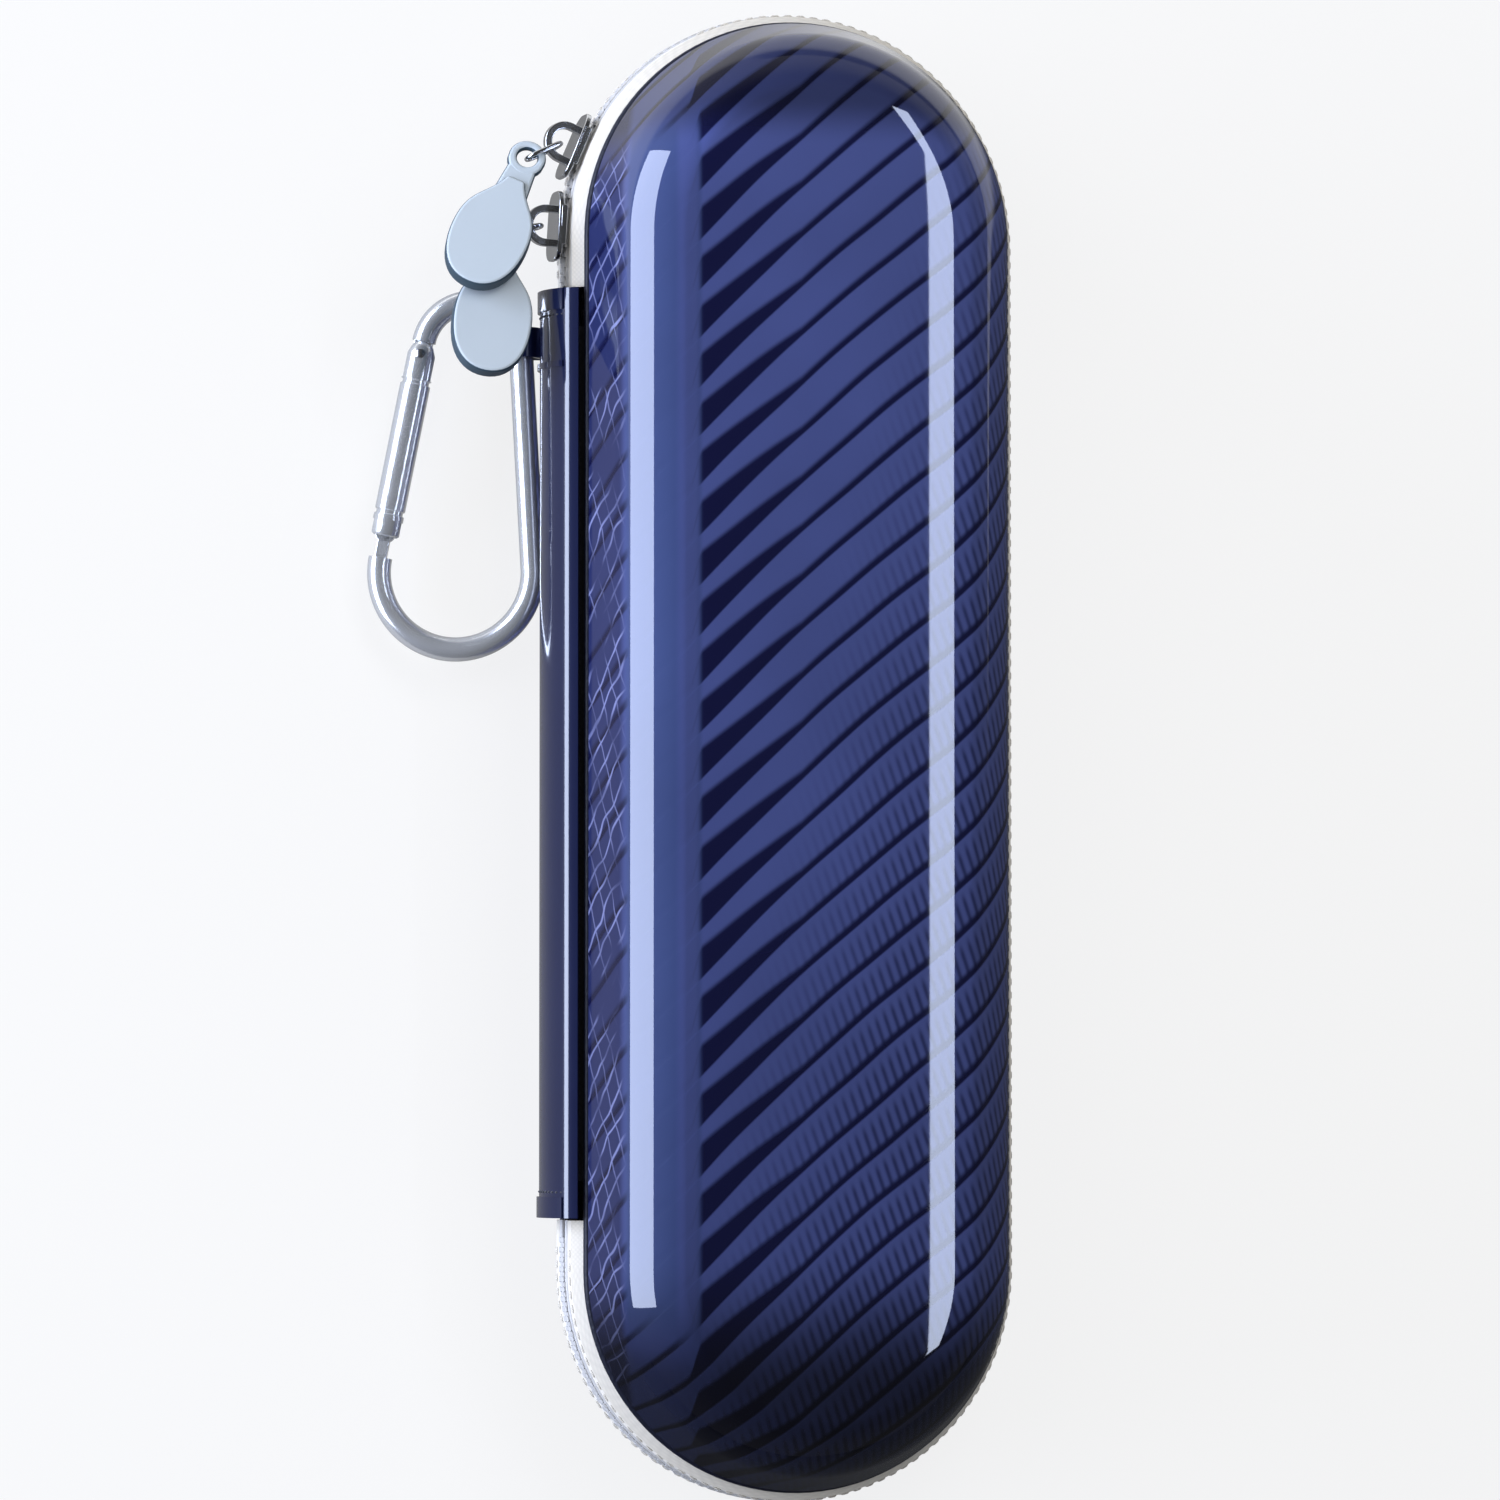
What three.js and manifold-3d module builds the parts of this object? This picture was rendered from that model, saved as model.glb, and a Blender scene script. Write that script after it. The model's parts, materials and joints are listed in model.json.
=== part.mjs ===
// Zipped hard-shell travel case for an electric toothbrush, lying on its back.
// Millimetres, +Z up. +Y runs to the round end that is uppermost when the case hangs,
// and -X is the side with the flexible spine. The origin is the middle of the back's resting face.

import * as THREE from 'three';
import { mergeVertices } from 'three/addons/utils/BufferGeometryUtils.js';
import Module from 'manifold-3d';

const wasm = await Module();
wasm.setup();

// Driving dimensions of the case
const half = 0.5;
const rimRadius = 36;
const straightHalf = 84;
const shellHeight = 17;
const zipBandHeight = 16;
const shellWall = 2.2;
const wallDraft = 2.4;
const wallStraight = 7;
const faceInset = 12;
const faceCrown = 0.9;
const shoulderShare = 0.25;
const seatGap = 0.3;
const overrun = 2;

// Lining, binding and tape
const liningThick = 0.8;
const liningRimDrop = 0.6;
const bindingRadius = 0.75;
const tapeThick = 0.7;
const tapeTuck = 2.2;
const tapeBulge = 1.4;
const tapeBend = 2.2;
const tapeUpright = 4.1;
const heldEndTurn = 35;

// Spine strip and hanging loop
const spineFromRoundEnd = 8.5;
const spineBulge = 5.4;
const spineThick = 1.1;
const spineShoulderShare = 0.72;
const spineLevelShare = 0.33;
const spineEndGap = 0.4;
const innerTapeEndInset = 6;
const innerTapeThick = 0.6;
const innerTapeStandoff = 1.2;
const loopWidth = 5;
const loopInner = 2.9;
const loopThick = 1.1;
const loopAcross = 6.2;
const loopDrop = 4.2;
const loopTopBelowSpine = 5;
const loopTailIn = 0.9;

// Zip rows
const rowThick = 1.6;
const beadHeight = 1;
const beadStart = 1;
const toothLength = 0.9;
const toothHeight = 1.5;
const toothOverlap = 0.5;
const toothPitch = 4.4;

// Sliders and their bridges
const sliderLength = 11.4;
const sliderWidth = 7.4;
const sliderCorner = 2.4;
const sliderPlate = 0.9;
const channelHalf = 1.5;
const flangeWidth = 1.1;
const tapeSlotHalf = 0.95;
const neckLength = 3.4;
const neckWidth = 1.4;
const bridgeRadius = 2.8;
const bridgeBar = 1.2;
const bridgeWidth = 1.6;
const bridgeLift = 1.3;
const lowerSliderPast = 2.09;
const sliderSpacing = 12.92;

// Pull links and grips
const linkWire = 0.8;
const linkInner = 2.6;
const linkReach = 7;
const upperLinkLie = { heading: -155, rise: 1, lean: -8 };
const lowerLinkLie = { heading: -169.5, rise: -2, lean: -4 };
const gripLength = 26;
const gripWidth = 14.4;
const gripThick = 3;
const gripBevel = 0.7;
const gripNeckWidth = 6.2;
const gripNeckThick = 1.6;
const gripEyeRadius = 1.7;
const gripShoulderShare = 0.36;
const gripBroadShare = 0.62;
const gripRoundShare = 0.84;
const gripTipShare = 0.62;
const upperGripLie = { heading: -118.5, rise: 14, lean: -17.5 };
const lowerGripLie = { heading: -102, rise: 15, lean: -8 };

// Snap hook
const hookWire = 2;
const hookLowRadius = 12.7;
const hookTopRadius = 8.1;
const hookSpan = 36.5;
const hookLegLean = 2;
const hookTilt = 20;
const hookHangAcross = 2.42;
const hookHangAlong = 1.2;
const hookTongue = 1.8;
const gateRadius = 2.5;
const gateEndShare = 0.9;
const gateStartShare = 0.06;
const gateBore = 1.5;
const gatePinRadius = 0.8;
const gateSlotGap = 0.3;
const springRadius = 0.95;
const springWire = 0.2;
const springTurns = 8;
const springPitch = 1.2;
const springStepsPerTurn = 8;
const springSides = 2;

// Straps and the net pocket inside
const strapWidth = 20;
const strapThick = 1;
const strapSag = 3;
const lowerStrapPlace = -58;
const upperStrapPlace = 6;
const headLoopFromRoundEnd = 6;
const headLoopWidth = 12;
const headLoopSpan = 26;
const headLoopRise = 13;
const headLoopFootShare = 0.5;
const headLoopSideShare = 0.4;
const headLoopLevelShare = 0.7;
const netThick = 0.6;
const netTop = -4;
const netDrop = 2.4;
const hemHeight = 5;
const hemThick = 1.4;

// Fineness of the round stretches
const arcSteps = 14;
const cornerSteps = 5;
const wireSides = 8;
const wireSteps = 34;
const plateCornerSteps = 3;
const roundSteps = 6;
const bevelSteps = 2;
const mergeWithin = 1e-4;

// Places that follow from the driving dimensions
const backRimZ = shellHeight;
const frontRimZ = shellHeight + zipBandHeight;
const partingZ = shellHeight + zipBandHeight * half;
const spineHalf = straightHalf - spineFromRoundEnd;
const rowRadius = rimRadius + tapeBulge;
const bridgeBase = channelHalf + sliderPlate + bridgeLift;
const fullTurn = Math.PI * 2;
const quarterTurn = fullTurn / 4;
const toRadians = THREE.MathUtils.degToRad;

// Turning geometries into solids and back

function weld(geometry) {
  const bare = geometry.clone();
  bare.deleteAttribute('normal');
  bare.deleteAttribute('uv');
  const merged = mergeVertices(bare, mergeWithin);
  const index = merged.getIndex().array;
  const kept = [];
  for (let at = 0; at < index.length; at += 3) {
    const [a, b, c] = [index[at], index[at + 1], index[at + 2]];
    if (a !== b && b !== c && c !== a) kept.push(a, b, c);
  }
  merged.setIndex(kept);
  return merged;
}

function signedVolume(geometry) {
  const place = geometry.getAttribute('position');
  const index = geometry.getIndex().array;
  const corner = (n) => new THREE.Vector3().fromBufferAttribute(place, index[n]);
  let total = 0;
  for (let at = 0; at < index.length; at += 3) {
    total += corner(at).dot(corner(at + 1).cross(corner(at + 2)));
  }
  return total;
}

function facingOut(geometry) {
  if (signedVolume(geometry) < 0) geometry.setIndex(Array.from(geometry.getIndex().array).reverse());
  return geometry;
}

function solidOf(geometry) {
  const closed = facingOut(weld(geometry));
  return new wasm.Manifold(new wasm.Mesh({
    numProp: 3,
    vertProperties: Float32Array.from(closed.getAttribute('position').array),
    triVerts: Uint32Array.from(closed.getIndex().array),
  }));
}

function geometryOf(solid) {
  const mesh = solid.getMesh();
  const geometry = new THREE.BufferGeometry();
  geometry.setAttribute('position', new THREE.BufferAttribute(mesh.vertProperties, 3));
  geometry.setIndex(Array.from(mesh.triVerts));
  geometry.computeVertexNormals();
  return geometry;
}

function joined(solids) {
  return solids.reduce((whole, next) => whole.add(next));
}

function without(solid, cutters) {
  return cutters.reduce((rest, cutter) => rest.subtract(cutter), solid);
}

function box(low, high) {
  const size = new THREE.Vector3().subVectors(high, low);
  const middle = new THREE.Vector3().addVectors(low, high).multiplyScalar(half);
  const geometry = new THREE.BoxGeometry(size.x, size.y, size.z);
  return solidOf(geometry.translate(middle.x, middle.y, middle.z));
}

function point(x, y, z) {
  return new THREE.Vector3(x, y, z);
}

// A lathe turned from the profile and drawn out along Y, so that its two round ends stand
// a straight side apart. Profile points are (distance from the middle line, height).
function capsule(profile) {
  const columnsPerEnd = arcSteps + 1;
  const lathe = new THREE.LatheGeometry(profile, columnsPerEnd * 2);
  const place = lathe.getAttribute('position');
  for (let at = 0; at < place.count; at += 1) {
    const column = Math.floor(at / profile.length) % (columnsPerEnd * 2);
    const { x: radius, y: height } = profile[at % profile.length];
    const top = column >= columnsPerEnd;
    const turn = (Math.PI * (column % columnsPerEnd)) / arcSteps - (top ? -quarterTurn : quarterTurn);
    const shift = top ? straightHalf : -straightHalf;
    place.setXYZ(at, radius * Math.sin(turn), shift - radius * Math.cos(turn), height);
  }
  return lathe;
}

function closedProfile(points) {
  return [...points, points[0]];
}

// A ribbon of even thickness along an open curve, as a closed profile
function ribbonProfile(curve, thick, steps) {
  const outer = [];
  const inner = [];
  for (let step = 0; step <= steps; step += 1) {
    const at = curve.getPoint(step / steps);
    const along = curve.getTangent(step / steps);
    const side = new THREE.Vector2(along.y, -along.x).multiplyScalar(thick * half);
    outer.push(at.clone().add(side));
    inner.unshift(at.clone().sub(side));
  }
  return closedProfile([...outer, ...inner]);
}

function mirroredProfile(profile) {
  return profile.map((p) => new THREE.Vector2(p.x, partingZ * 2 - p.y));
}

// Shells and linings

// One side of a shell's wall, from the rim to the middle of its face, inset from the outside
function wallLine(inset, rimDrop, crown) {
  const top = shellHeight - inset;
  const radius = rimRadius - inset;
  const side = new THREE.Vector2(radius - wallDraft, wallStraight);
  const corner = new THREE.Vector2(side.x - (top - wallStraight) * shoulderShare, top - crown);
  const face = new THREE.Vector2(radius - faceInset, top - crown);
  const shoulder = new THREE.QuadraticBezierCurve(side, corner, face);
  return [new THREE.Vector2(radius, rimDrop), ...shoulder.getPoints(cornerSteps), new THREE.Vector2(0, top)];
}

function trayProfile(inset, thick, rimDrop, crown) {
  const outside = wallLine(inset, rimDrop, crown).reverse();
  return [...outside, ...wallLine(inset + thick, rimDrop, crown)];
}

function frontTray(inset, thick, rimDrop) {
  return solidOf(capsule(trayProfile(inset, thick, rimDrop, faceCrown)).translate(0, 0, frontRimZ));
}

function backTray(inset, thick, rimDrop) {
  const flat = capsule(trayProfile(inset, thick, rimDrop, 0));
  return solidOf(flat.scale(1, 1, -1).translate(0, 0, backRimZ));
}

// What lies along the hinge side between the ends of the spine, as a cutter
function spineRange(halfLength) {
  const reach = rimRadius + spineBulge + overrun;
  return box(point(-reach, -halfLength, 0), point(-rimRadius * half, halfLength, frontRimZ + shellHeight));
}

// Rim binding: a round bead under the shell's rim
function bindingProfile() {
  const middle = new THREE.Vector2(rimRadius - bindingRadius * half, frontRimZ - seatGap - bindingRadius);
  const points = [];
  for (let side = 0; side < wireSides; side += 1) {
    const turn = (side * fullTurn) / wireSides;
    const outward = new THREE.Vector2(Math.cos(turn), Math.sin(turn));
    points.push(middle.clone().addScaledVector(outward, bindingRadius));
  }
  return closedProfile(points);
}

// Zip tape: tucked under the rim inside the binding, and upright along the row
function tapeProfile() {
  const tucked = new THREE.Vector2(rimRadius - tapeTuck, frontRimZ - seatGap - tapeThick * half);
  const bend = new THREE.Vector2(rimRadius - tapeTuck, partingZ + tapeUpright + tapeBend);
  const upright = new THREE.Vector2(rowRadius, partingZ + tapeUpright);
  const low = new THREE.Vector2(rowRadius, partingZ + beadStart + beadHeight + seatGap);
  const curve = new THREE.CurvePath();
  curve.add(new THREE.QuadraticBezierCurve(tucked, bend, upright));
  curve.add(new THREE.LineCurve(upright, low));
  return ribbonProfile(curve, tapeThick, cornerSteps + 1);
}

const heldEndY = straightHalf + rowRadius * Math.sin(toRadians(heldEndTurn));

function heldEndRange(margin) {
  const reach = rimRadius + spineBulge + overrun;
  const far = point(-rimRadius * half * half, heldEndY + margin, frontRimZ + shellHeight);
  return box(point(-reach, 0, 0), far);
}

function frontTape() {
  const whole = solidOf(capsule(tapeProfile()));
  return without(whole, [spineRange(spineHalf + spineEndGap), heldEndRange(seatGap)]);
}

function frontTapeEnd() {
  const whole = solidOf(capsule(tapeProfile()));
  return without(whole, [spineRange(spineHalf + spineEndGap)]).intersect(heldEndRange(0));
}

function backTape() {
  return without(solidOf(capsule(mirroredProfile(tapeProfile()))), [spineRange(spineHalf + spineEndGap)]);
}

// The path of the zip: from the spine's upper end over the top, down the far side and round again

const zipStraight = straightHalf - spineHalf - spineEndGap;
const endArc = Math.PI * rowRadius;
const zipLength = zipStraight * 2 + endArc * 2 + straightHalf * 2;

// Where a place along the zip lies, and the turn of its outward direction
function zipPlace(along) {
  if (along < zipStraight) {
    return { x: -rowRadius, y: straightHalf - zipStraight + along, turn: Math.PI };
  }
  let rest = along - zipStraight;
  if (rest < endArc) {
    const turn = Math.PI - rest / rowRadius;
    return { x: rowRadius * Math.cos(turn), y: straightHalf + rowRadius * Math.sin(turn), turn };
  }
  rest -= endArc;
  if (rest < straightHalf * 2) return { x: rowRadius, y: straightHalf - rest, turn: 0 };
  rest -= straightHalf * 2;
  if (rest < endArc) {
    const turn = -rest / rowRadius;
    return { x: rowRadius * Math.cos(turn), y: rowRadius * Math.sin(turn) - straightHalf, turn };
  }
  rest -= endArc;
  return { x: -rowRadius, y: rest - straightHalf, turn: Math.PI };
}

function beadSolid() {
  const low = partingZ + beadStart;
  const side = rowThick * half;
  const profile = closedProfile([
    new THREE.Vector2(rowRadius - side, low),
    new THREE.Vector2(rowRadius + side, low),
    new THREE.Vector2(rowRadius + side, low + beadHeight),
    new THREE.Vector2(rowRadius - side, low + beadHeight),
  ]);
  return without(solidOf(capsule(profile)), [spineRange(spineHalf + spineEndGap)]);
}

// One row: teeth on a bead, each reaching past the parting plane between two of the other row
function toothRow(phaseShare) {
  const low = partingZ - toothOverlap;
  const high = partingZ + beadStart + beadHeight * half;
  const count = Math.floor(zipLength / toothPitch - 1);
  const teeth = [];
  for (let number = 0; number < count; number += 1) {
    const at = zipPlace((number + phaseShare) * toothPitch + toothPitch * half);
    const tooth = new THREE.BoxGeometry(rowThick - toothOverlap * half, toothLength, high - low);
    teeth.push(solidOf(tooth.rotateZ(at.turn).translate(at.x, at.y, (low + high) * half)));
  }
  return joined([beadSolid(), ...teeth]);
}

function mirroredRow(row) {
  const geometry = geometryOf(row).translate(0, 0, -partingZ).scale(1, 1, -1);
  return solidOf(geometry.translate(0, 0, partingZ));
}

// Spine strip, its inner tape and the hanging loop

// The spine's line in the XZ plane, from rim to rim, by how far its edges and crest stand out
function spineCurve(edgeOut, crestOut) {
  const edge = -(rimRadius + edgeOut);
  const crest = -(rimRadius + crestOut);
  const shoulder = edge + (crest - edge) * spineShoulderShare;
  const level = (rimZ) => THREE.MathUtils.lerp(rimZ, partingZ, spineLevelShare);
  return new THREE.CatmullRomCurve3([
    point(edge, backRimZ + seatGap * 2, 0),
    point(shoulder, level(backRimZ), 0),
    point(crest, partingZ, 0),
    point(shoulder, level(frontRimZ), 0),
    point(edge, frontRimZ - seatGap * 2, 0),
  ]);
}

function crossBand(curve, thick, length, middleY) {
  const flat = (v) => new THREE.Vector2(v.x, v.y);
  const line = { getPoint: (t) => flat(curve.getPoint(t)), getTangent: (t) => flat(curve.getTangent(t)) };
  const profile = ribbonProfile(line, thick, cornerSteps * 2 + 2);
  const outline = new THREE.Shape(profile.slice(0, -1));
  const band = new THREE.ExtrudeGeometry(outline, { depth: length, bevelEnabled: false });
  return solidOf(band.rotateX(quarterTurn).translate(0, middleY + length * half, 0));
}

function spineStrip() {
  const edgeOut = bindingRadius * half + seatGap + spineThick * half;
  return crossBand(spineCurve(edgeOut, spineBulge - spineThick * half), spineThick, spineHalf * 2, 0);
}

function innerHingeTape() {
  const crestOut = spineBulge - spineThick - innerTapeStandoff - bindingRadius * 2;
  const width = (spineHalf - innerTapeEndInset) * 2;
  return crossBand(spineCurve(-tapeTuck - shellWall, crestOut), innerTapeThick, width, 0);
}

const loopX = -(rimRadius + loopAcross);
const loopZ = backRimZ - loopDrop;
const loopY = spineHalf - loopTopBelowSpine - loopWidth * half;

function ringShape(inner, outer) {
  const ring = new THREE.Shape();
  ring.absarc(0, 0, outer, 0, fullTurn);
  const hole = new THREE.Path();
  hole.absarc(0, 0, inner, 0, fullTurn);
  ring.holes.push(hole);
  return ring;
}

function hangingLoop() {
  const band = new THREE.ExtrudeGeometry(ringShape(loopInner, loopInner + loopThick), {
    depth: loopWidth,
    bevelEnabled: false,
    curveSegments: roundSteps,
  });
  const topY = loopY + loopWidth * half;
  const tail = box(
    point(loopX + loopInner + loopThick * half, loopY - loopWidth * half, loopZ - loopThick),
    point(loopTailIn - rimRadius, topY, loopZ + loopThick),
  );
  return solidOf(band.rotateX(quarterTurn).translate(loopX, topY, loopZ)).add(tail);
}

// Sliders

function roundedPlate(length, width, corner, thick) {
  const [x, y] = [width * half, length * half];
  const shape = new THREE.Shape();
  shape.moveTo(-x + corner, -y);
  shape.lineTo(x - corner, -y);
  shape.absarc(x - corner, -y + corner, corner, -quarterTurn, 0);
  shape.absarc(x - corner, y - corner, corner, 0, quarterTurn);
  shape.absarc(-x + corner, y - corner, corner, quarterTurn, Math.PI);
  shape.absarc(-x + corner, -y + corner, corner, Math.PI, quarterTurn * 3);
  return new THREE.ExtrudeGeometry(shape, {
    depth: thick,
    bevelEnabled: false,
    curveSegments: plateCornerSteps,
  });
}

function bridgeSolid() {
  const outer = bridgeRadius + bridgeBar * half;
  const inner = bridgeRadius - bridgeBar * half;
  const foot = channelHalf + sliderPlate * half;
  const arch = new THREE.Shape();
  arch.moveTo(outer, foot);
  arch.absarc(0, bridgeBase, outer, 0, Math.PI);
  arch.lineTo(-outer, foot);
  arch.lineTo(-inner, foot);
  arch.absarc(0, bridgeBase, inner, Math.PI, 0, true);
  arch.lineTo(inner, foot);
  const bar = new THREE.ExtrudeGeometry(arch, {
    depth: bridgeWidth,
    bevelEnabled: false,
    curveSegments: roundSteps,
  });
  return solidOf(bar.translate(0, 0, -bridgeWidth * half).rotateZ(-quarterTurn));
}

// The lip along one edge of one plate, which keeps the row in the slider
function flangeSolid(side, edge) {
  const y = sliderLength * half - sliderCorner;
  const near = point(side * tapeSlotHalf, -y, edge * (sliderWidth * half - flangeWidth));
  const far = point(side * (channelHalf + sliderPlate * half), y, edge * sliderWidth * half);
  return box(near.clone().min(far), near.clone().max(far));
}

// A slider in its own frame: +X away from the case, +Y back along the zip, +Z as the case
function sliderSolid() {
  const parts = [bridgeSolid()];
  for (const side of [-1, 1]) {
    const plate = roundedPlate(sliderLength, sliderWidth, sliderCorner, sliderPlate).rotateY(quarterTurn);
    parts.push(solidOf(plate.translate(side > 0 ? channelHalf : -channelHalf - sliderPlate, 0, 0)));
    for (const edge of [-1, 1]) parts.push(flangeSolid(side, edge));
  }
  const reach = channelHalf + sliderPlate * half;
  parts.push(box(
    point(-reach, -neckLength * half, -neckWidth * half),
    point(reach, neckLength * half, neckWidth * half),
  ));
  return joined(parts);
}

function neckRoom() {
  const z = neckWidth * half + seatGap;
  const y = neckLength * half + seatGap;
  return new THREE.BoxGeometry(rowThick + overrun, y * 2, z * 2);
}

// Turns round the end, in radians, of places along the row past the end's start
const lowerSliderTurn = lowerSliderPast / rowRadius;
const upperSliderTurn = (lowerSliderPast + sliderSpacing) / rowRadius;

function sliderMatrix(angle) {
  const matrix = new THREE.Matrix4().makeRotationZ(Math.PI - angle);
  const x = -rowRadius * Math.cos(angle);
  return matrix.setPosition(x, straightHalf + rowRadius * Math.sin(angle), partingZ);
}

// Pulls: a wire link round the bridge, and a moulded teardrop grip on the link

function linkSolid() {
  const near = bridgeRadius - bridgeBar * half - linkWire - seatGap;
  const outline = (grow) => {
    const radius = linkInner * half + grow;
    const shape = new THREE.Shape();
    shape.absarc(linkReach - linkInner * half - linkWire * half, 0, radius, -quarterTurn, quarterTurn);
    shape.absarc(near + linkInner * half, 0, radius, quarterTurn, quarterTurn * 3);
    return shape;
  };
  const shape = outline(linkWire);
  shape.holes.push(outline(0));
  const ring = new THREE.ExtrudeGeometry(shape, {
    depth: linkWire,
    bevelEnabled: false,
    curveSegments: roundSteps,
  });
  return solidOf(ring.translate(0, 0, -linkWire * half).rotateX(quarterTurn));
}

// The grip in its own frame: the eye at the origin, +X to the tip, +Z out of its face
function gripBulk() {
  const wide = gripWidth * half - gripBevel;
  const neck = gripNeckWidth * half;
  const shoulder = gripNeckWidth + neck;
  const start = gripNeckWidth - neck * half;
  const tip = gripLength - gripBevel;
  const round = gripLength * gripRoundShare;
  const broad = gripLength * gripBroadShare;
  const hip = gripLength * gripShoulderShare;
  const outline = new THREE.Shape();
  outline.moveTo(start, -neck * half);
  outline.bezierCurveTo(shoulder, -neck, hip, -wide, broad, -wide);
  outline.bezierCurveTo(round, -wide, tip, -wide * gripTipShare, tip, 0);
  outline.bezierCurveTo(tip, wide * gripTipShare, round, wide, broad, wide);
  outline.bezierCurveTo(hip, wide, shoulder, neck, start, neck * half);
  const depth = gripThick - gripBevel * 2;
  const bulk = new THREE.ExtrudeGeometry(outline, {
    depth,
    bevelEnabled: true,
    bevelSize: gripBevel,
    bevelThickness: gripBevel,
    bevelSegments: bevelSteps,
    curveSegments: cornerSteps,
  });
  return solidOf(bulk.translate(0, 0, -depth * half));
}

function gripSolid() {
  const neck = gripNeckWidth * half;
  const shoulder = gripNeckWidth + neck;
  const tab = new THREE.Shape();
  tab.absarc(0, 0, neck, quarterTurn, quarterTurn * 3);
  tab.lineTo(shoulder, -neck);
  tab.lineTo(shoulder, neck);
  const tabBlock = new THREE.ExtrudeGeometry(tab, {
    depth: gripNeckThick,
    bevelEnabled: false,
    curveSegments: roundSteps,
  });
  const eye = new THREE.CylinderGeometry(gripEyeRadius, gripEyeRadius, gripThick + overrun, wireSides * 2);
  const whole = gripBulk().add(solidOf(tabBlock.translate(0, 0, -gripNeckThick * half)));
  return whole.subtract(solidOf(eye.rotateX(quarterTurn)));
}

// A frame whose +X has the given heading round Z and rise, leaning sideways about itself
function pullFrame(origin, lie) {
  const [heading, rise, lean] = [lie.heading, lie.rise, lie.lean].map(toRadians);
  const turned = new THREE.Matrix4().makeRotationZ(heading);
  turned.multiply(new THREE.Matrix4().makeRotationY(-rise));
  turned.multiply(new THREE.Matrix4().makeRotationX(-lean));
  return turned.setPosition(origin);
}

function bridgeMiddle(angle) {
  return point(bridgeBase, 0, 0).applyMatrix4(sliderMatrix(angle));
}

function eyePlace(linkFrame) {
  return point(linkReach, 0, 0).applyMatrix4(linkFrame);
}

// Snap hook, in its own plane: +Y up the hook, the leg in the loop at X zero

const hookLowMiddle = new THREE.Vector2(-hookLowRadius, -hookSpan);
const hookTopMiddle = new THREE.Vector2(-hookTopRadius - hookLegLean, 0);

function hookOnCircle(middle, radius, turn) {
  return new THREE.Vector2(middle.x + radius * Math.cos(turn), middle.y + radius * Math.sin(turn));
}

// The line that the gate lies on, tangent to both ends on the open side
function gateLine() {
  const across = hookTopMiddle.clone().sub(hookLowMiddle);
  const lean = Math.asin((hookLowRadius - hookTopRadius) / across.length());
  const turn = Math.atan2(across.y, across.x) + quarterTurn - lean;
  return {
    low: hookOnCircle(hookLowMiddle, hookLowRadius, turn),
    high: hookOnCircle(hookTopMiddle, hookTopRadius, turn),
    turn,
  };
}

function hookPoints() {
  const line = gateLine();
  const points = [];
  for (let step = 0; step <= arcSteps; step += 1) {
    const turn = line.turn + ((-line.turn) * step) / arcSteps;
    points.push(hookOnCircle(hookTopMiddle, hookTopRadius, turn));
  }
  for (let step = 0; step <= arcSteps; step += 1) {
    const turn = -((fullTurn - line.turn) * step) / arcSteps;
    points.push(hookOnCircle(hookLowMiddle, hookLowRadius, turn));
  }
  return points;
}

function wireAlong(points, radius, steps, sides) {
  const section = new THREE.Shape();
  section.absarc(0, 0, radius, 0, fullTurn);
  return solidOf(new THREE.ExtrudeGeometry(section, {
    steps,
    extrudePath: new THREE.CatmullRomCurve3(points),
    bevelEnabled: false,
    curveSegments: sides,
  }));
}

function gateEnds() {
  const line = gateLine();
  const pivot = line.high.clone().lerp(line.low, gateStartShare);
  const nose = line.high.clone().lerp(line.low, gateEndShare);
  return { pivot, nose, line };
}

// A bar or tube lying from one place to another in the hook's plane
function lying(geometry, from, to) {
  const along = to.clone().sub(from);
  const middle = from.clone().lerp(to, half);
  const turned = geometry.rotateZ(Math.atan2(along.y, along.x) - quarterTurn);
  return solidOf(turned.translate(middle.x, middle.y, 0));
}

function bar(width, thick, from, to) {
  return lying(new THREE.BoxGeometry(width, from.distanceTo(to), thick), from, to);
}

function rod(radius, sides, from, to) {
  return lying(new THREE.CylinderGeometry(radius, radius, from.distanceTo(to), sides), from, to);
}

function acrossHook(radius, length, at) {
  const pin = new THREE.CylinderGeometry(radius, radius, length, wireSides * 2);
  return solidOf(pin.rotateX(quarterTurn).translate(at.x, at.y, 0));
}

function hookBody() {
  const { pivot, nose, line } = gateEnds();
  const towards = line.low.clone().sub(line.high).normalize();
  const ear = pivot.clone().addScaledVector(towards, gatePinRadius * 2);
  const back = line.high.clone().addScaledVector(towards, -hookWire);
  const foot = line.low.clone().addScaledVector(towards, hookWire);
  const tip = nose.clone().addScaledVector(towards, -hookWire);
  const wire = wireAlong(hookPoints().map((p) => point(p.x, p.y, 0)), hookWire, wireSteps, wireSides * half);
  const earWidth = hookWire + gatePinRadius * 2 - seatGap * 2;
  const solid = joined([wire, bar(earWidth, hookTongue, back, ear), bar(hookWire, hookTongue, foot, tip)]);
  return solid.subtract(acrossHook(gatePinRadius + seatGap, hookWire * 4, pivot));
}

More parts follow.
